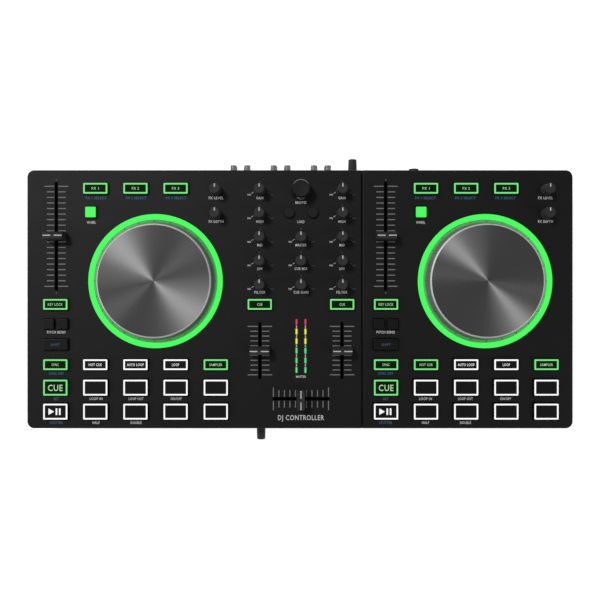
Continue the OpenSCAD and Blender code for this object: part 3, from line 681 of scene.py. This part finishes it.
class CONTROLLER_OT_knobs(bpy.types.Operator):
    """Build the knobs with their pointer lines"""
    bl_idname = "controller.knobs"
    bl_label = "Knobs"
    bl_options = {"REGISTER", "UNDO"}

    def execute(self, context):
        for node in SMALL_KNOBS:
            self.knob(node, 48)
        self.browse()
        for node, out in (("phones_knob", -1), ("mic_knob", 1)):
            self.side_knob(node, out)
        return {"FINISHED"}

    @staticmethod
    def shape(radius, head, foot_z, top_z, shaft_r, low_z):
        """The profile of a knob and its shaft, about its own axis."""
        edge = sizes().knob_round
        cap = rounded([(shaft_r, foot_z + 0.2 * MM), (radius - 0.6 * MM, foot_z + 0.2 * MM),
                       (radius, foot_z + 0.6 * MM), (radius, foot_z + 2.4 * MM),
                       (radius - 0.55 * MM, foot_z + 3.0 * MM),
                       (head, top_z - 0.1 * MM), (head - 0.9 * MM, top_z)], 0.35 * MM)
        dish = [(head - 1.3 * MM, top_z - 0.02 * MM), (head * 0.4, top_z - 0.15 * MM), (0, top_z - 0.18 * MM)]
        return [(0, low_z), (shaft_r, low_z)] + cap + dish

    def knob(self, node, segments):
        low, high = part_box(node)
        centre = (low + high) / 2
        radius = (high.x - low.x) / 2
        foot = PANEL_TOP + 1 * MM
        head = radius * 0.86
        top = high.z - POINTER_RISE
        bm = turned(self.shape(radius, head, foot, top, SHAFT_R, low.z), segments, (centre.x, centre.y, 0))
        finish_piece(node + "_cap", bm, BODY_OF[node], knob_black(), [node])
        path = [(head * 0.28, top - 0.1 * MM), (head - 1.1 * MM, top + 0.01 * MM),
                (head - 0.4 * MM, top - 0.08 * MM), (head + 0.08 * MM, top - 0.5 * MM),
                (radius - 0.42 * MM, foot + 3.2 * MM), (radius + 0.05 * MM, foot + 2.2 * MM)]
        self.pointer(node, path, sizes().pointer_width,
                     Matrix.Translation((centre.x, centre.y, 0)))

    def pointer(self, node, path, width, place):
        """A raised strip that follows a path of (distance, height) points along +Y."""
        bm = bmesh.new()
        thick = 0.06 * MM
        y, z = path[0]
        quad = [bm.verts.new((x, y, z + dz)) for x, dz in
                ((-width / 2, -thick), (width / 2, -thick), (width / 2, thick), (-width / 2, thick))]
        face = bm.faces.new(quad)
        for (y0, z0), (y1, z1) in zip(path, path[1:]):
            grown = bmesh.ops.extrude_face_region(bm, geom=[face])
            verts = [v for v in grown["geom"] if isinstance(v, bmesh.types.BMVert)]
            bmesh.ops.delete(bm, geom=[face], context="FACES_ONLY")
            face = next(f for f in grown["geom"] if isinstance(f, bmesh.types.BMFace))
            bmesh.ops.translate(bm, vec=(0, y1 - y0, z1 - z0), verts=verts)
        bmesh.ops.recalc_face_normals(bm, faces=bm.faces)
        bmesh.ops.transform(bm, matrix=place, verts=bm.verts)
        finish_piece(node + "_pointer", bm, BODY_OF[node], printed("pointer_white", linear(232, 232, 230)))

    def browse(self):
        low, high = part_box("browse_knob")
        centre = (low + high) / 2
        radius = (high.x - low.x) / 2
        foot = PANEL_TOP + 1 * MM
        facets = sizes().browse_facets
        profile = rounded([(SHAFT_R, foot + 0.2 * MM), (radius - 0.4 * MM, foot + 0.2 * MM),
                           (radius, foot + 0.7 * MM), (radius * 0.985, foot + 3 * MM),
                           (radius * 0.9, high.z - 1.2 * MM), (radius * 0.82, high.z)], 0.5 * MM)
        dish = [(radius * 0.76, high.z - 0.05 * MM), (radius * 0.3, high.z - 0.3 * MM), (0,
                                                                                         high.z - 0.3 * MM)]
        bm = turned([(0, low.z), (SHAFT_R, low.z)] + profile + dish, facets * 4, (centre.x, centre.y, 0))
        flat = math.cos(math.pi / facets)
        for v in bm.verts:
            offset = Vector((v.co.x - centre.x, v.co.y - centre.y))
            if offset.length > radius * 0.7 and v.co.z > foot + 2 * MM:
                turn = math.atan2(offset.y, offset.x) % (TURN / facets) - math.pi / facets
                pull = 1 - 0.8 * (1 - flat / math.cos(turn))
                v.co.x, v.co.y = centre.x + offset.x * pull, centre.y + offset.y * pull
        finish_piece("browse_knob_cap", bm, "browse_knob",
                     moulded("browse_gloss", linear(30, 30, 31), rough=0.22, spread=0.1, bump=0.01,
                             specular=0.5,
                             coat=0.3),
                     ["browse_knob"], smooth=24)

    def side_knob(self, node, out):
        low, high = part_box(node)
        centre = (low + high) / 2
        face_y = CASE_HIGH.y * out
        tip_y = high.y if out > 0 else low.y
        reach = abs(tip_y - face_y) - POINTER_RISE
        tail = abs((low.y if out > 0 else high.y) - face_y)
        radius = 4.5 * MM
        wide = (high.x - low.x) / 2
        profile = [(0, -tail), (SHAFT_R, -tail)] + rounded(
            [(SHAFT_R, 0.7 * MM), (wide - 0.1 * MM, 0.7 * MM), (wide, 1.1 * MM), (radius + 0.15 * MM,
                                                                                  3.2 * MM),
             (radius, 4 * MM), (radius * 0.94, reach - 0.5 * MM), (radius * 0.8, reach)], 0.4 * MM) + [
            (radius * 0.7, reach - 0.05 * MM), (0, reach - 0.15 * MM)]
        bm = turned(profile, 40)
        turn = Matrix.Translation((centre.x, face_y, centre.z)) @ Matrix.Rotation(-out * math.pi / 2, 4, "X")
        bmesh.ops.transform(bm, matrix=turn, verts=bm.verts)
        finish_piece(node + "_cap", bm, BODY_OF[node], knob_black(), [node])


# ---------------------------------------------------------------- faders

class CONTROLLER_OT_fader_caps(bpy.types.Operator):
    """Build the fader caps with their white lines, and the levers under them"""
    bl_idname = "controller.fader_caps"
    bl_label = "Fader Caps"
    bl_options = {"REGISTER", "UNDO"}

    def execute(self, context):
        for node in [n for n in frame["nodes"] if n.endswith("fader")]:
            self.cap(node)
        return {"FINISHED"}

    def cap(self, node):
        low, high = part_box(node)
        centre = (low + high) / 2
        foot = PANEL_TOP + 1 * MM
        height = high.z - foot
        across = max(high.x - low.x, high.y - low.y) / 2
        along = 4.25 * MM
        turn = Matrix.Rotation(math.pi / 2 if node == "crossfader" else 0, 4, "Z")
        place = Matrix.Translation((centre.x, centre.y, 0)) @ turn
        bm = block((-across, -along, foot), (across, along, high.z), corner=1.0 * MM)
        for v in bm.verts:
            if v.co.z > foot + height / 2:
                v.co.x *= 0.94
                v.co.y *= 0.78
        cuts = 9
        for i in range(1, cuts):
            bmesh.ops.bisect_plane(bm, geom=bm.verts[:] + bm.edges[:] + bm.faces[:], dist=1e-7,
                                   plane_co=(0, along * (2 * i / cuts - 1), 0), plane_no=(0, 1, 0))
        for v in bm.verts:
            if v.co.z > high.z - 1e-6:
                v.co.z -= sizes().cap_saddle * max(0.0, 1 - (v.co.y / (along * 0.78)) ** 2)
        rim = [e for e in sharp_edges(bm, 25) if all(v.co.z > foot + height * 0.6 for v in e.verts)]
        bevel(bm, rim, 0.3 * MM, 2)
        lever = block((-0.8 * MM, -2 * MM, low.z), (0.8 * MM, 2 * MM, foot + height * 0.4))
        merge_in(bm, lever)
        bmesh.ops.transform(bm, matrix=place, verts=bm.verts)
        finish_piece(node + "_cap", bm, BODY_OF[node], knob_black(), [node])
        marks = Collector()
        level = high.z - sizes().cap_saddle + 0.06 * MM
        for sign in (-1, 1):
            marks.take(stroke((sign * 1.7 * MM, 0), (sign * across * 0.92, 0), 1.0 * MM, level))
        bmesh.ops.transform(marks.bm, matrix=place, verts=marks.bm.verts)
        marks.piece(node + "_line", BODY_OF[node], printed("cap_white", linear(235, 235, 235)), "cap_black")


# ---------------------------------------------------------------- keys

KEY_SINK = 2.4 * MM         # how far below the panel's top a key's cap starts
GREEN, WHITE, DARK, SOLID = "green", "white", "dark", "solid"
KEY_LIGHTS = {
    "fx_keys": [GREEN, GREEN, GREEN, SOLID],
    "function_keys": [GREEN, DARK, DARK, DARK],
    "sync_key": [GREEN],
    "cue_key": [GREEN],
    "play_key": [WHITE],
    "pads": [WHITE] * 8,
}
MODE_LIGHTS = {"left": [WHITE, WHITE, WHITE, GREEN], "right": [GREEN, WHITE, WHITE, GREEN]}
KEY_WORDS = {
    "fx_keys": ["FX 1", "FX 2", "FX 3", ""],
    "function_keys": ["KEY LOCK", "", "", "SHIFT"],
    "sync_key": ["SYNC"],
    "cue_key": ["CUE"],
    "mode_keys": ["HOT CUE", "AUTO LOOP", "LOOP", "SAMPLER"],
}


class CONTROLLER_OT_keys(bpy.types.Operator):
    """Build the keys and pads with their lit rims, dark faces and lettering"""
    bl_idname = "controller.keys"
    bl_label = "Keys and Pads"
    bl_options = {"REGISTER", "UNDO"}

    def execute(self, context):
        for side in SIDES:
            for kind, lights in KEY_LIGHTS.items():
                self.group(f"{side}_{kind}", lights, KEY_WORDS.get(kind, []))
            self.group(f"{side}_mode_keys", MODE_LIGHTS[side], KEY_WORDS["mode_keys"])
        self.group("channel_cue_keys", [GREEN, GREEN], ["CUE", "CUE"])
        self.load_keys()
        return {"FINISHED"}

    def group(self, node, lights, words):
        body = BODY_OF[node]
        self.mat(node, body)
        rims = {light: Collector() for light in (GREEN, WHITE, DARK, SOLID)}
        sides = {light: Collector() for light in (GREEN, WHITE)}
        faces = {light: Collector() for light in (GREEN, WHITE)}
        legends = {light: Collector() for light in (GREEN, WHITE, DARK)}
        skirt = Vector((sizes().key_skirt, sizes().key_skirt, 0))
        for i, (area, light) in enumerate(zip(tops(node), lights)):
            low, high = area
            foot = PANEL_TOP - KEY_SINK
            lit = high.z - sizes().key_light
            if light == DARK:
                dark = block((low.x, low.y, foot), high, sizes().key_corner, 2 * sizes().key_edge)
                rims[DARK].take(dark)
            else:
                side = block((low.x, low.y, foot), (high.x, high.y, lit), sizes().key_corner,
                             sizes().key_edge)
                sides[WHITE if light == WHITE else GREEN].take(side)
                low, high = low + skirt, high - skirt
                foot = lit - 0.9 * MM
            if light == SOLID:
                rims[SOLID].take(block((low.x, low.y, foot), high, sizes().key_corner, 0.15 * MM))
            elif light != DARK:
                rims[light].take(self.rim(low, high, foot))
                faces[light].take(self.face(low, high))
            word = words[i] if i < len(words) else ""
            if word:
                big = node.endswith("cue_key")
                height = sizes().big_label if big else sizes().label_height
                level = high.z - (0 if light == DARK else sizes().key_recess)
                legends[light].take(lettering(word, middle(area), height, level,
                                              BIG_ADVANCE if big else ADVANCE,
                                              0.1 * MM if big else 0.02 * MM))
            if node.endswith("play_key"):
                self.play_symbol(legends[light], middle(area), high.z - sizes().key_recess)
        look = colours()
        rims[GREEN].piece(node + "_green_rims", body, lamp("rim_green", look.rim_green, 1.0, 0.1),
                          "key_clear")
        rims[WHITE].piece(node + "_white_rims", body, lamp("rim_white", look.rim_white, 1.05, 0.03),
                          "key_clear")
        rims[SOLID].piece(node + "_lit_key", body, lamp("key_green", look.lit_green, 1.0, 0.05), "key_clear")
        rims[DARK].piece(node + "_dark_keys", body, face_black(), "key_clear")
        sides[GREEN].piece(node + "_green_sides", body, lamp("side_green", look.side_green, 1.0, 0.1),
                           "key_clear")
        sides[WHITE].piece(node + "_dark_sides", body, face_black(), "key_clear")
        faces[GREEN].piece(node + "_green_faces", body, self.green_face(), "key_clear")
        faces[WHITE].piece(node + "_dark_faces", body, face_black(), "key_clear")
        legends[GREEN].piece(node + "_green_words", body, lamp("word_green", linear(185, 235, 180), 0.85),
                             "key_clear")
        legends[WHITE].piece(node + "_white_words", body, lamp("word_white", linear(250, 250, 250), 1.0),
                             "key_clear")
        legends[DARK].piece(node + "_dim_words", body, printed("word_blue", linear(88, 112, 150)),
                            "key_clear")

    @staticmethod
    def green_face():
        """Dark film lit weakly from below."""
        look = colours()
        material = moulded("face_green", linear(3, 10, 4), rough=0.6, spread=0.1, bump=0.02, specular=0.1)
        shader = material.node_tree.nodes["Principled BSDF"]
        shader.inputs["Emission Color"].default_value = (*look.face_green, 1.0)
        shader.inputs["Emission Strength"].default_value = 1.0
        return material

    @staticmethod
    def rim(low, high, foot):
        """A key's clear body, with a hollow in its top for the face."""
        edge = 0.15 * MM
        bm = block((low.x, low.y, foot), high, sizes().key_corner, edge)
        top = max(bm.faces, key=lambda f: f.calc_center_median().z * 1000 + f.calc_area() * 10)
        bmesh.ops.inset_region(bm, faces=[top], thickness=sizes().key_rim - edge, use_even_offset=True)
        grown = bmesh.ops.extrude_face_region(bm, geom=[top])
        bmesh.ops.delete(bm, geom=[top], context="FACES_ONLY")
        verts = [v for v in grown["geom"] if isinstance(v, bmesh.types.BMVert)]
        bmesh.ops.translate(bm, vec=(0, 0, -0.9 * MM), verts=verts)
        return bm

    @staticmethod
    def face(low, high):
        gap = sizes().key_rim + 0.03 * MM
        top = high.z - sizes().key_recess
        return block((low.x + gap, low.y + gap, high.z - 0.88 * MM), (high.x - gap, high.y - gap, top),
                     0.3 * MM, 0.12 * MM)

    @staticmethod
    def play_symbol(legends, place, z):
        """A triangle and two bars."""
        legends.take(triangle((place.x - 4.9 * MM, place.y), 3.7 * MM, 0, z))
        for dx in (1.2, 4.5):
            legends.take(stroke((place.x + dx * MM, place.y - 3.3 * MM), (place.x + dx * MM,
                                                                          place.y + 3.3 * MM),
                                1.65 * MM, z))

    @staticmethod
    def mat(node, body):
        """The moulded mat and stems under the panel."""
        bm = cad_copy(node)
        cut = PANEL_TOP - 2.5 * MM
        bmesh.ops.bisect_plane(bm, geom=bm.verts[:] + bm.edges[:] + bm.faces[:], dist=1e-7,
                               plane_co=(0, 0, cut), plane_no=(0, 0, 1), clear_outer=True)
        bmesh.ops.holes_fill(bm, edges=[e for e in bm.edges if e.is_boundary], sides=0)
        rubber = moulded("mat_rubber", linear(120, 122, 120), rough=0.7, spread=0.1, grain=900.0, bump=0.05)
        finish_piece(node + "_mat", bm, body, rubber, [node])

    def load_keys(self):
        self.mat("load_keys", "load_keys")
        bm = bmesh.new()
        for low, high in tops("load_keys"):
            r = (high.x - low.x) / 2
            depth = high.z - PANEL_TOP + 2.4 * MM
            profile = rounded([(0, -depth), (r, -depth), (r, -0.0), (0, -0.0)], 0.4 * MM)
            centre = (low + high) / 2
            merge_in(bm, turned(profile, 40, (centre.x, centre.y, high.z)))
        satin = moulded("load_satin", linear(27, 27, 28), rough=0.5, spread=0.1, bump=0.02, specular=0.3)
        finish_piece("load_key_caps", bm, "load_keys", satin)


# ---------------------------------------------------------------- level meter

METER_SHADE = 0.09                          # how bright a meter lens is round its lamp
METER_INSET = 0.75 * MM, 0.45 * MM, 0       # from a lens's edge to its lamp, across and along
METER_SINK = 0.08 * MM                      # how far a lens lies under its lamp


class CONTROLLER_OT_level_meter(bpy.types.Operator):
    """Build the level meter's coloured windows on their light bar"""
    bl_idname = "controller.level_meter"
    bl_label = "Level Meter"
    bl_options = {"REGISTER", "UNDO"}

    def execute(self, context):
        areas = tops("level_meter")
        columns = 2
        look = colours()
        lamps = [("red", look.lamp_red, 1), ("yellow", look.lamp_yellow, 2), ("green", look.lamp_green, 3)]
        row = 0
        inset, shade = Vector(METER_INSET), Vector((0, 0, METER_SINK))
        for name, rgb, rows in lamps:
            windows = Collector()
            lenses = Collector()
            for low, high in areas[row * columns:(row + rows) * columns]:
                lenses.take(block((low.x, low.y, PANEL_TOP - 2.9 * MM), high - shade, 0.3 * MM, 0.12 * MM))
                windows.take(block(low + inset - 3 * shade, high - inset, 0.6 * MM, 0.05 * MM))
            windows.piece(f"meter_{name}_windows", "case", lamp("meter_" + name, rgb, 1.0), "meter_lens")
            dim = tuple(c * METER_SHADE for c in rgb)
            lenses.piece(f"meter_{name}_lenses", "case", lamp("meter_dim_" + name, dim, 1.0), "meter_lens")
            row += rows
        bar = cad_copy("level_meter")
        bmesh.ops.bisect_plane(bar, geom=bar.verts[:] + bar.edges[:] + bar.faces[:], dist=1e-7,
                               plane_co=(0, 0, PANEL_TOP - 2.95 * MM), plane_no=(0, 0, 1), clear_outer=True)
        bmesh.ops.holes_fill(bar, edges=[e for e in bar.edges if e.is_boundary], sides=0)
        clear = moulded("light_bar", linear(190, 200, 190), rough=0.3, spread=0.05, bump=0.01)
        finish_piece("meter_light_bar", bar, "case", clear, ["level_meter"])
        links = Collector()
        for column in range(columns):
            line = areas[column::columns]
            for above, below in zip(line, line[1:]):
                links.take(stroke((middle(above).x, above[0].y - 0.3 * MM),
                                  (middle(below).x, below[1].y + 0.3 * MM), 0.9 * MM, PANEL_TOP))
        # The lines between the meter windows glow a little: painted light.
        links.piece("meter_lines", "case", printed("print_light", linear(200, 200, 190), 0.3), "panel_black")
        return {"FINISHED"}


# ---------------------------------------------------------------- print on the panels

class CONTROLLER_OT_scales(bpy.types.Operator):
    """Print the fader scales and the marks round the knobs"""
    bl_idname = "controller.scales"
    bl_label = "Scales and Marks"
    bl_options = {"REGISTER", "UNDO"}

    def execute(self, context):
        marks = Collector()
        ticks = {"white": Collector(), "dim": Collector()}
        for side in SIDES:
            self.scale(marks, f"{side}_pitch_fader", 100 * MM, sizes().scale_steps, 23.6 * MM, 18.7 * MM)
            self.scale(marks, f"{side}_line_fader", 48.4 * MM, sizes().line_steps, 24.5 * MM, 18.9 * MM)
        self.scale(marks, "crossfader", 55.1 * MM, sizes().line_steps, 22.7 * MM, 17.5 * MM)
        for node in MIXER_KNOBS:
            self.knob_marks(ticks, node)
        marks.piece("fader_scales", "case", printed("print_grey", colours().print_grey), "panel_black")
        ticks["white"].piece("knob_marks", "case", printed("print_white", colours().print_white),
                             "panel_black")
        # Dim grey marks: painted shade of the knobs.
        ticks["dim"].piece("painted_shade_knob_marks", "case", printed("print_painted_shade", colours().print_painted_shade), "panel_black")
        return {"FINISHED"}

    @staticmethod
    def scale(marks, node, length, steps, long_mark, short_mark):
        low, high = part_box(node)
        centre = (low + high) / 2
        sideways = node == "crossfader"
        slot = 2.1 * MM
        for i in range(steps + 1):
            at = (i / steps - 0.5) * length
            reach = (long_mark if i in (0, steps) else short_mark) / 2
            for sign in (-1, 1):
                a, b = (sign * slot, at), (sign * reach, at)
                if sideways:
                    a, b = a[::-1], b[::-1]
                marks.take(stroke((centre.x + a[0], centre.y + a[1]), (centre.x + b[0], centre.y + b[1]),
                                  sizes().mark_width, PANEL_TOP))
        if length > 60 * MM:
            for sign in (-1, 1):
                marks.take(triangle((centre.x, centre.y + sign * (length / 2 + 6.6 * MM)), 0.8 * MM,
                                    sign * math.pi / 2, PANEL_TOP))

    @staticmethod
    def knob_marks(marks, node):
        low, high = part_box(node)
        centre = (low + high) / 2
        # The right-hand mark gets the dim grey as painted shade of the knob; the tick above gets the same
        # grey.
        for sign, tone in ((-1, "white"), (1, "dim")):
            middle_x = centre.x + 0.5 * MM
            marks[tone].take(stroke((middle_x + sign * 6.8 * MM, centre.y - 1.7 * MM),
                                    (middle_x + sign * 9.1 * MM, centre.y - 3.1 * MM), 0.55 * MM, PANEL_TOP))
        marks["dim"].take(stroke((centre.x, centre.y + 7.6 * MM), (centre.x, centre.y + 9.6 * MM), 0.6 * MM,
                                 PANEL_TOP))


class CONTROLLER_OT_labels(bpy.types.Operator):
    """Print the plain labels on the panels"""
    bl_idname = "controller.labels"
    bl_label = "Labels"
    bl_options = {"REGISTER", "UNDO"}

    def execute(self, context):
        self.prints = {"white": Collector(), "dim": Collector(), "blue": Collector()}
        for side in SIDES:
            self.deck(side)
            for name in ("gain", "high", "mid", "low", "filter"):
                self.under(f"{side}_{name}_knob", name.upper())
        self.under("master_knob", "MASTER")
        self.under("cue_mix_knob", "CUE MIX")
        self.under("cue_gain_knob", "CUE GAIN")
        self.under("browse_knob", "BROWSE", 12.1)
        spots = [middle(a) for a in tops("load_keys")]
        self.word("LOAD", (sum(p.x for p in spots) / 2, spots[0].y - 8.9 * MM))
        for node in MIXER_KNOBS:
            low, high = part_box(node)
            centre = (low + high) / 2
            # MAX, right of the knob, gets the dim grey as painted shade of the knob.
            for sign, text, tone in ((-1, "MIN", "white"), (1, "MAX", "dim")):
                self.word(text, (centre.x + (0.6 + sign * 11.4) * MM, centre.y - 4.3 * MM), tone, 0.62)
        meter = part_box("level_meter")
        self.word("MASTER", ((meter[0].x + meter[1].x) / 2, meter[0].y - 1.6 * MM), scale=0.9)
        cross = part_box("crossfader")
        self.word("DJ CONTROLLER", ((cross[0].x + cross[1].x) / 2, -118.2 * MM), scale=1.9)
        look = colours()
        # The white labels glow a little: painted light.
        self.prints["white"].piece("white_labels", "case", printed("label_white", look.print_white, 0.25),
                                   "panel_black")
        # Dim grey words: painted shade of the knobs.
        self.prints["dim"].piece("painted_shade_labels", "case", printed("label_painted_shade", look.print_painted_shade), "panel_black")
        # The blue labels glow a little: painted light.
        self.prints["blue"].piece("blue_labels", "case", printed("label_blue", look.print_blue, 0.3),
                                  "panel_black")
        return {"FINISHED"}

    def word(self, text, place, tone="white", scale=1.0):
        height = sizes().label_height * scale
        self.prints[tone].take(lettering(text, place, height, PANEL_TOP, ADVANCE * scale, 0.05 * MM))

    def under(self, node, text, drop=7.5):
        low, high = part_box(node)
        self.word(text, ((low.x + high.x) / 2, (low.y + high.y) / 2 - drop * MM))

    def below(self, area, text, drop, tone="white"):
        self.word(text, (middle(area).x, area[0].y - drop * MM), tone)

    def deck(self, side):
        keys = tops(side + "_fx_keys")
        for i, area in enumerate(keys[:3]):
            self.below(area, f"FX {i + 1} SELECT", 3.4, "blue")
        self.below(keys[3], "WHEEL", 4.4)
        function = tops(side + "_function_keys")
        self.word("PITCH BEND", (middle(function[0]).x, function[1][0].y - 2.9 * MM))
        for node, text in (("sync_key", "SYNC OFF"), ("cue_key", "SET"), ("play_key", "STUTTER")):
            self.below(tops(f"{side}_{node}")[0], text, 3.2, "blue")
        pads = tops(side + "_pads")
        for pad, text in zip((0, 1, 2, 4, 5), ("LOOP IN", "LOOP OUT", "ON/OFF", "HALF", "DOUBLE")):
            self.below(pads[pad], text, 3.1)
        self.under(side + "_fx_level_knob", "FX LEVEL")
        self.under(side + "_fx_amount_knob", "FX DEPTH")


# ---------------------------------------------------------------- sockets and inner parts

class CONTROLLER_OT_sockets(bpy.types.Operator):
    """Finish the phono, jack and USB sockets"""
    bl_idname = "controller.sockets"
    bl_label = "Sockets"
    bl_options = {"REGISTER", "UNDO"}

    def execute(self, context):
        nickel = moulded("nickel", linear(205, 204, 198), rough=0.12, spread=0.08, rough_spread=0.1,
                         bump=0.01,
                         metallic=1.0)
        dress("rca_sockets", nickel)
        dress("usb_socket", nickel)
        dress("jack_sockets", moulded("jack_black", linear(40, 40, 42), rough=0.35, bump=0.03))
        low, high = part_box("rca_sockets")
        z = (low.z + high.z) / 2
        pair = 14 * MM
        pairs = 3
        step = (high.x - low.x - 12 * MM - pair) / (pairs - 1)
        rings = {"red": Collector(), "white": Collector()}
        for i in range(pairs):
            for j, name in enumerate(("white", "red")):
                x = low.x + 6 * MM + i * step + j * pair
                ring = turned(rounded([(1.7 * MM, 0), (3.25 * MM, 0), (3.25 * MM, 0.7 * MM), (1.7 * MM,
                                                                                              0.7 * MM),
                                       (1.7 * MM, 0)], 0.05 * MM), 32)
                bmesh.ops.rotate(ring, cent=(0, 0, 0), matrix=Matrix.Rotation(-math.pi / 2, 3, "X"),
                                 verts=ring.verts)
                bmesh.ops.translate(ring, vec=(x, high.y - 0.79 * MM, z), verts=ring.verts)
                rings[name].take(ring)
        rings["red"].piece("rca_red_insulators", "case",
                           moulded("insulator_red", linear(190, 24, 28), rough=0.35, bump=0.02), "nickel")
        rings["white"].piece("rca_white_insulators", "case",
                             moulded("insulator_white", linear(225, 225, 220), rough=0.35, bump=0.02),
                             "nickel")
        low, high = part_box("usb_socket")
        centre = (low + high) / 2
        tongue = block((centre.x - 2.8 * MM, low.y + 4 * MM, centre.z - 1.6 * MM),
                       (centre.x + 2.8 * MM, high.y - 2 * MM, centre.z + 1.6 * MM), 0, 0.2 * MM)
        finish_piece("usb_tongue", tongue, "case", moulded("usb_white", linear(220, 220, 215), rough=0.4))
        return {"FINISHED"}


class CONTROLLER_OT_inner_parts(bpy.types.Operator):
    """Finish the boards, switches, controls and bearings inside"""
    bl_idname = "controller.inner_parts"
    bl_label = "Inner Parts"
    bl_options = {"REGISTER", "UNDO"}

    def execute(self, context):
        dress("circuit_boards", circuit_board_material())
        dress("tact_switches", moulded("switch_black", linear(45, 45, 48), rough=0.5, bump=0.05))
        steel = moulded("control_steel", linear(165, 166, 168), rough=0.35, spread=0.1, bump=0.03,
                        metallic=0.9)
        for node in ("rotary_pots", "jog_bearings"):
            dress(node, steel)
        dress("slide_pots", moulded("slide_black", linear(6, 6, 6), rough=0.7, bump=0.05, specular=0.1))
        return {"FINISHED"}


# ---------------------------------------------------------------- stage

class CONTROLLER_OT_stage(bpy.types.Operator):
    """Set the pale floor, the soft lights and the camera above the controller"""
    bl_idname = "controller.stage"
    bl_label = "Stage"
    bl_options = {"REGISTER", "UNDO"}

    def execute(self, context):
        self.floor()
        self.world()
        self.softbox("key", (-2.15, 2.03, 3.9), 1.35, 81.0)
        self.softbox("rim", (2.6, -1.5, 1.7), 1.6, 13.0)
        self.softbox("side", (-3.0, -0.6, 1.5), 1.2, 12.0)
        self.camera()
        bpy.context.scene.view_settings.view_transform = "Standard"
        return {"FINISHED"}

    @staticmethod
    def floor():
        bm = bmesh.new()
        bmesh.ops.create_grid(bm, x_segments=1, y_segments=1, size=6.0)
        mesh = bpy.data.meshes.new("floor")
        bm.to_mesh(mesh)
        bm.free()
        floor = bpy.data.objects.new("floor", mesh)
        bpy.context.scene.collection.objects.link(floor)
        material, tree, shader = new_material("floor_white")
        shader.inputs["Base Color"].default_value = (0.85, 0.85, 0.85, 1)
        shader.inputs["Roughness"].default_value = 0.9
        shader.inputs["Specular IOR Level"].default_value = 0.1
        shader.inputs["Emission Color"].default_value = (1, 1, 1, 1)
        shader.inputs["Emission Strength"].default_value = 0.8
        mesh.materials.append(material)

    @staticmethod
    def world():
        world = bpy.data.worlds.new("studio")
        world.use_nodes = True
        back = world.node_tree.nodes["Background"]
        back.inputs["Color"].default_value = (1, 1, 1, 1)
        back.inputs["Strength"].default_value = 0.19
        bpy.context.scene.world = world

    @staticmethod
    def softbox(name, place, size, power):
        light = bpy.data.lights.new(name, "AREA")
        light.shape = "DISK"
        light.size = size
        light.energy = power
        lamp_object = bpy.data.objects.new(name, light)
        bpy.context.scene.collection.objects.link(lamp_object)
        lamp_object.location = place
        aim = Vector((0, 0, PANEL_TOP)) - Vector(place)
        lamp_object.rotation_euler = aim.to_track_quat("-Z", "Y").to_euler()

    @staticmethod
    def camera():
        """Straight above the middle, so high that 600 mm at panel level fill the frame."""
        above, field, sensor = 670 * MM, 600 * MM, 36.0
        camera = bpy.data.cameras.new("camera")
        camera.sensor_width = sensor
        camera.lens = sensor * above / field
        camera.clip_start = 0.01
        camera_object = bpy.data.objects.new("camera", camera)
        bpy.context.scene.collection.objects.link(camera_object)
        camera_object.location = (0, -0.75 * MM, PANEL_TOP + above)
        bpy.context.scene.camera = camera_object


# ---------------------------------------------------------------- add-on

OPERATORS = (
    CONTROLLER_OT_panels,
    CONTROLLER_OT_tray,
    CONTROLLER_OT_jog_wheels,
    CONTROLLER_OT_knobs,
    CONTROLLER_OT_fader_caps,
    CONTROLLER_OT_keys,
    CONTROLLER_OT_level_meter,
    CONTROLLER_OT_scales,
    CONTROLLER_OT_labels,
    CONTROLLER_OT_sockets,
    CONTROLLER_OT_inner_parts,
    CONTROLLER_OT_stage,
)


class CONTROLLER_PT_sidebar(bpy.types.Panel):
    """Lists the settings and the steps that build the controller."""
    bl_idname = "CONTROLLER_PT_sidebar"
    bl_label = "Two-Deck Controller"
    bl_space_type = "VIEW_3D"
    bl_region_type = "UI"
    bl_category = "Controller"

    def draw(self, context):
        for settings in (sizes(), colours()):
            for name in settings.__annotations__:
                self.layout.prop(settings, name)
        for operator in OPERATORS:
            self.layout.operator(operator.bl_idname)


CLASSES = (ControllerSizes, ControllerColours, *OPERATORS, CONTROLLER_PT_sidebar)


def register():
    for cls in CLASSES:
        bpy.utils.register_class(cls)
    bpy.types.Scene.controller_sizes = PointerProperty(type=ControllerSizes)
    bpy.types.Scene.controller_colours = PointerProperty(type=ControllerColours)


def unregister():
    del bpy.types.Scene.controller_colours
    del bpy.types.Scene.controller_sizes
    for cls in reversed(CLASSES):
        bpy.utils.unregister_class(cls)


def main():
    register()
    for operator in OPERATORS:
        group, name = operator.bl_idname.split(".")
        getattr(getattr(bpy.ops, group), name)()


if __name__ == "__main__":
    main()
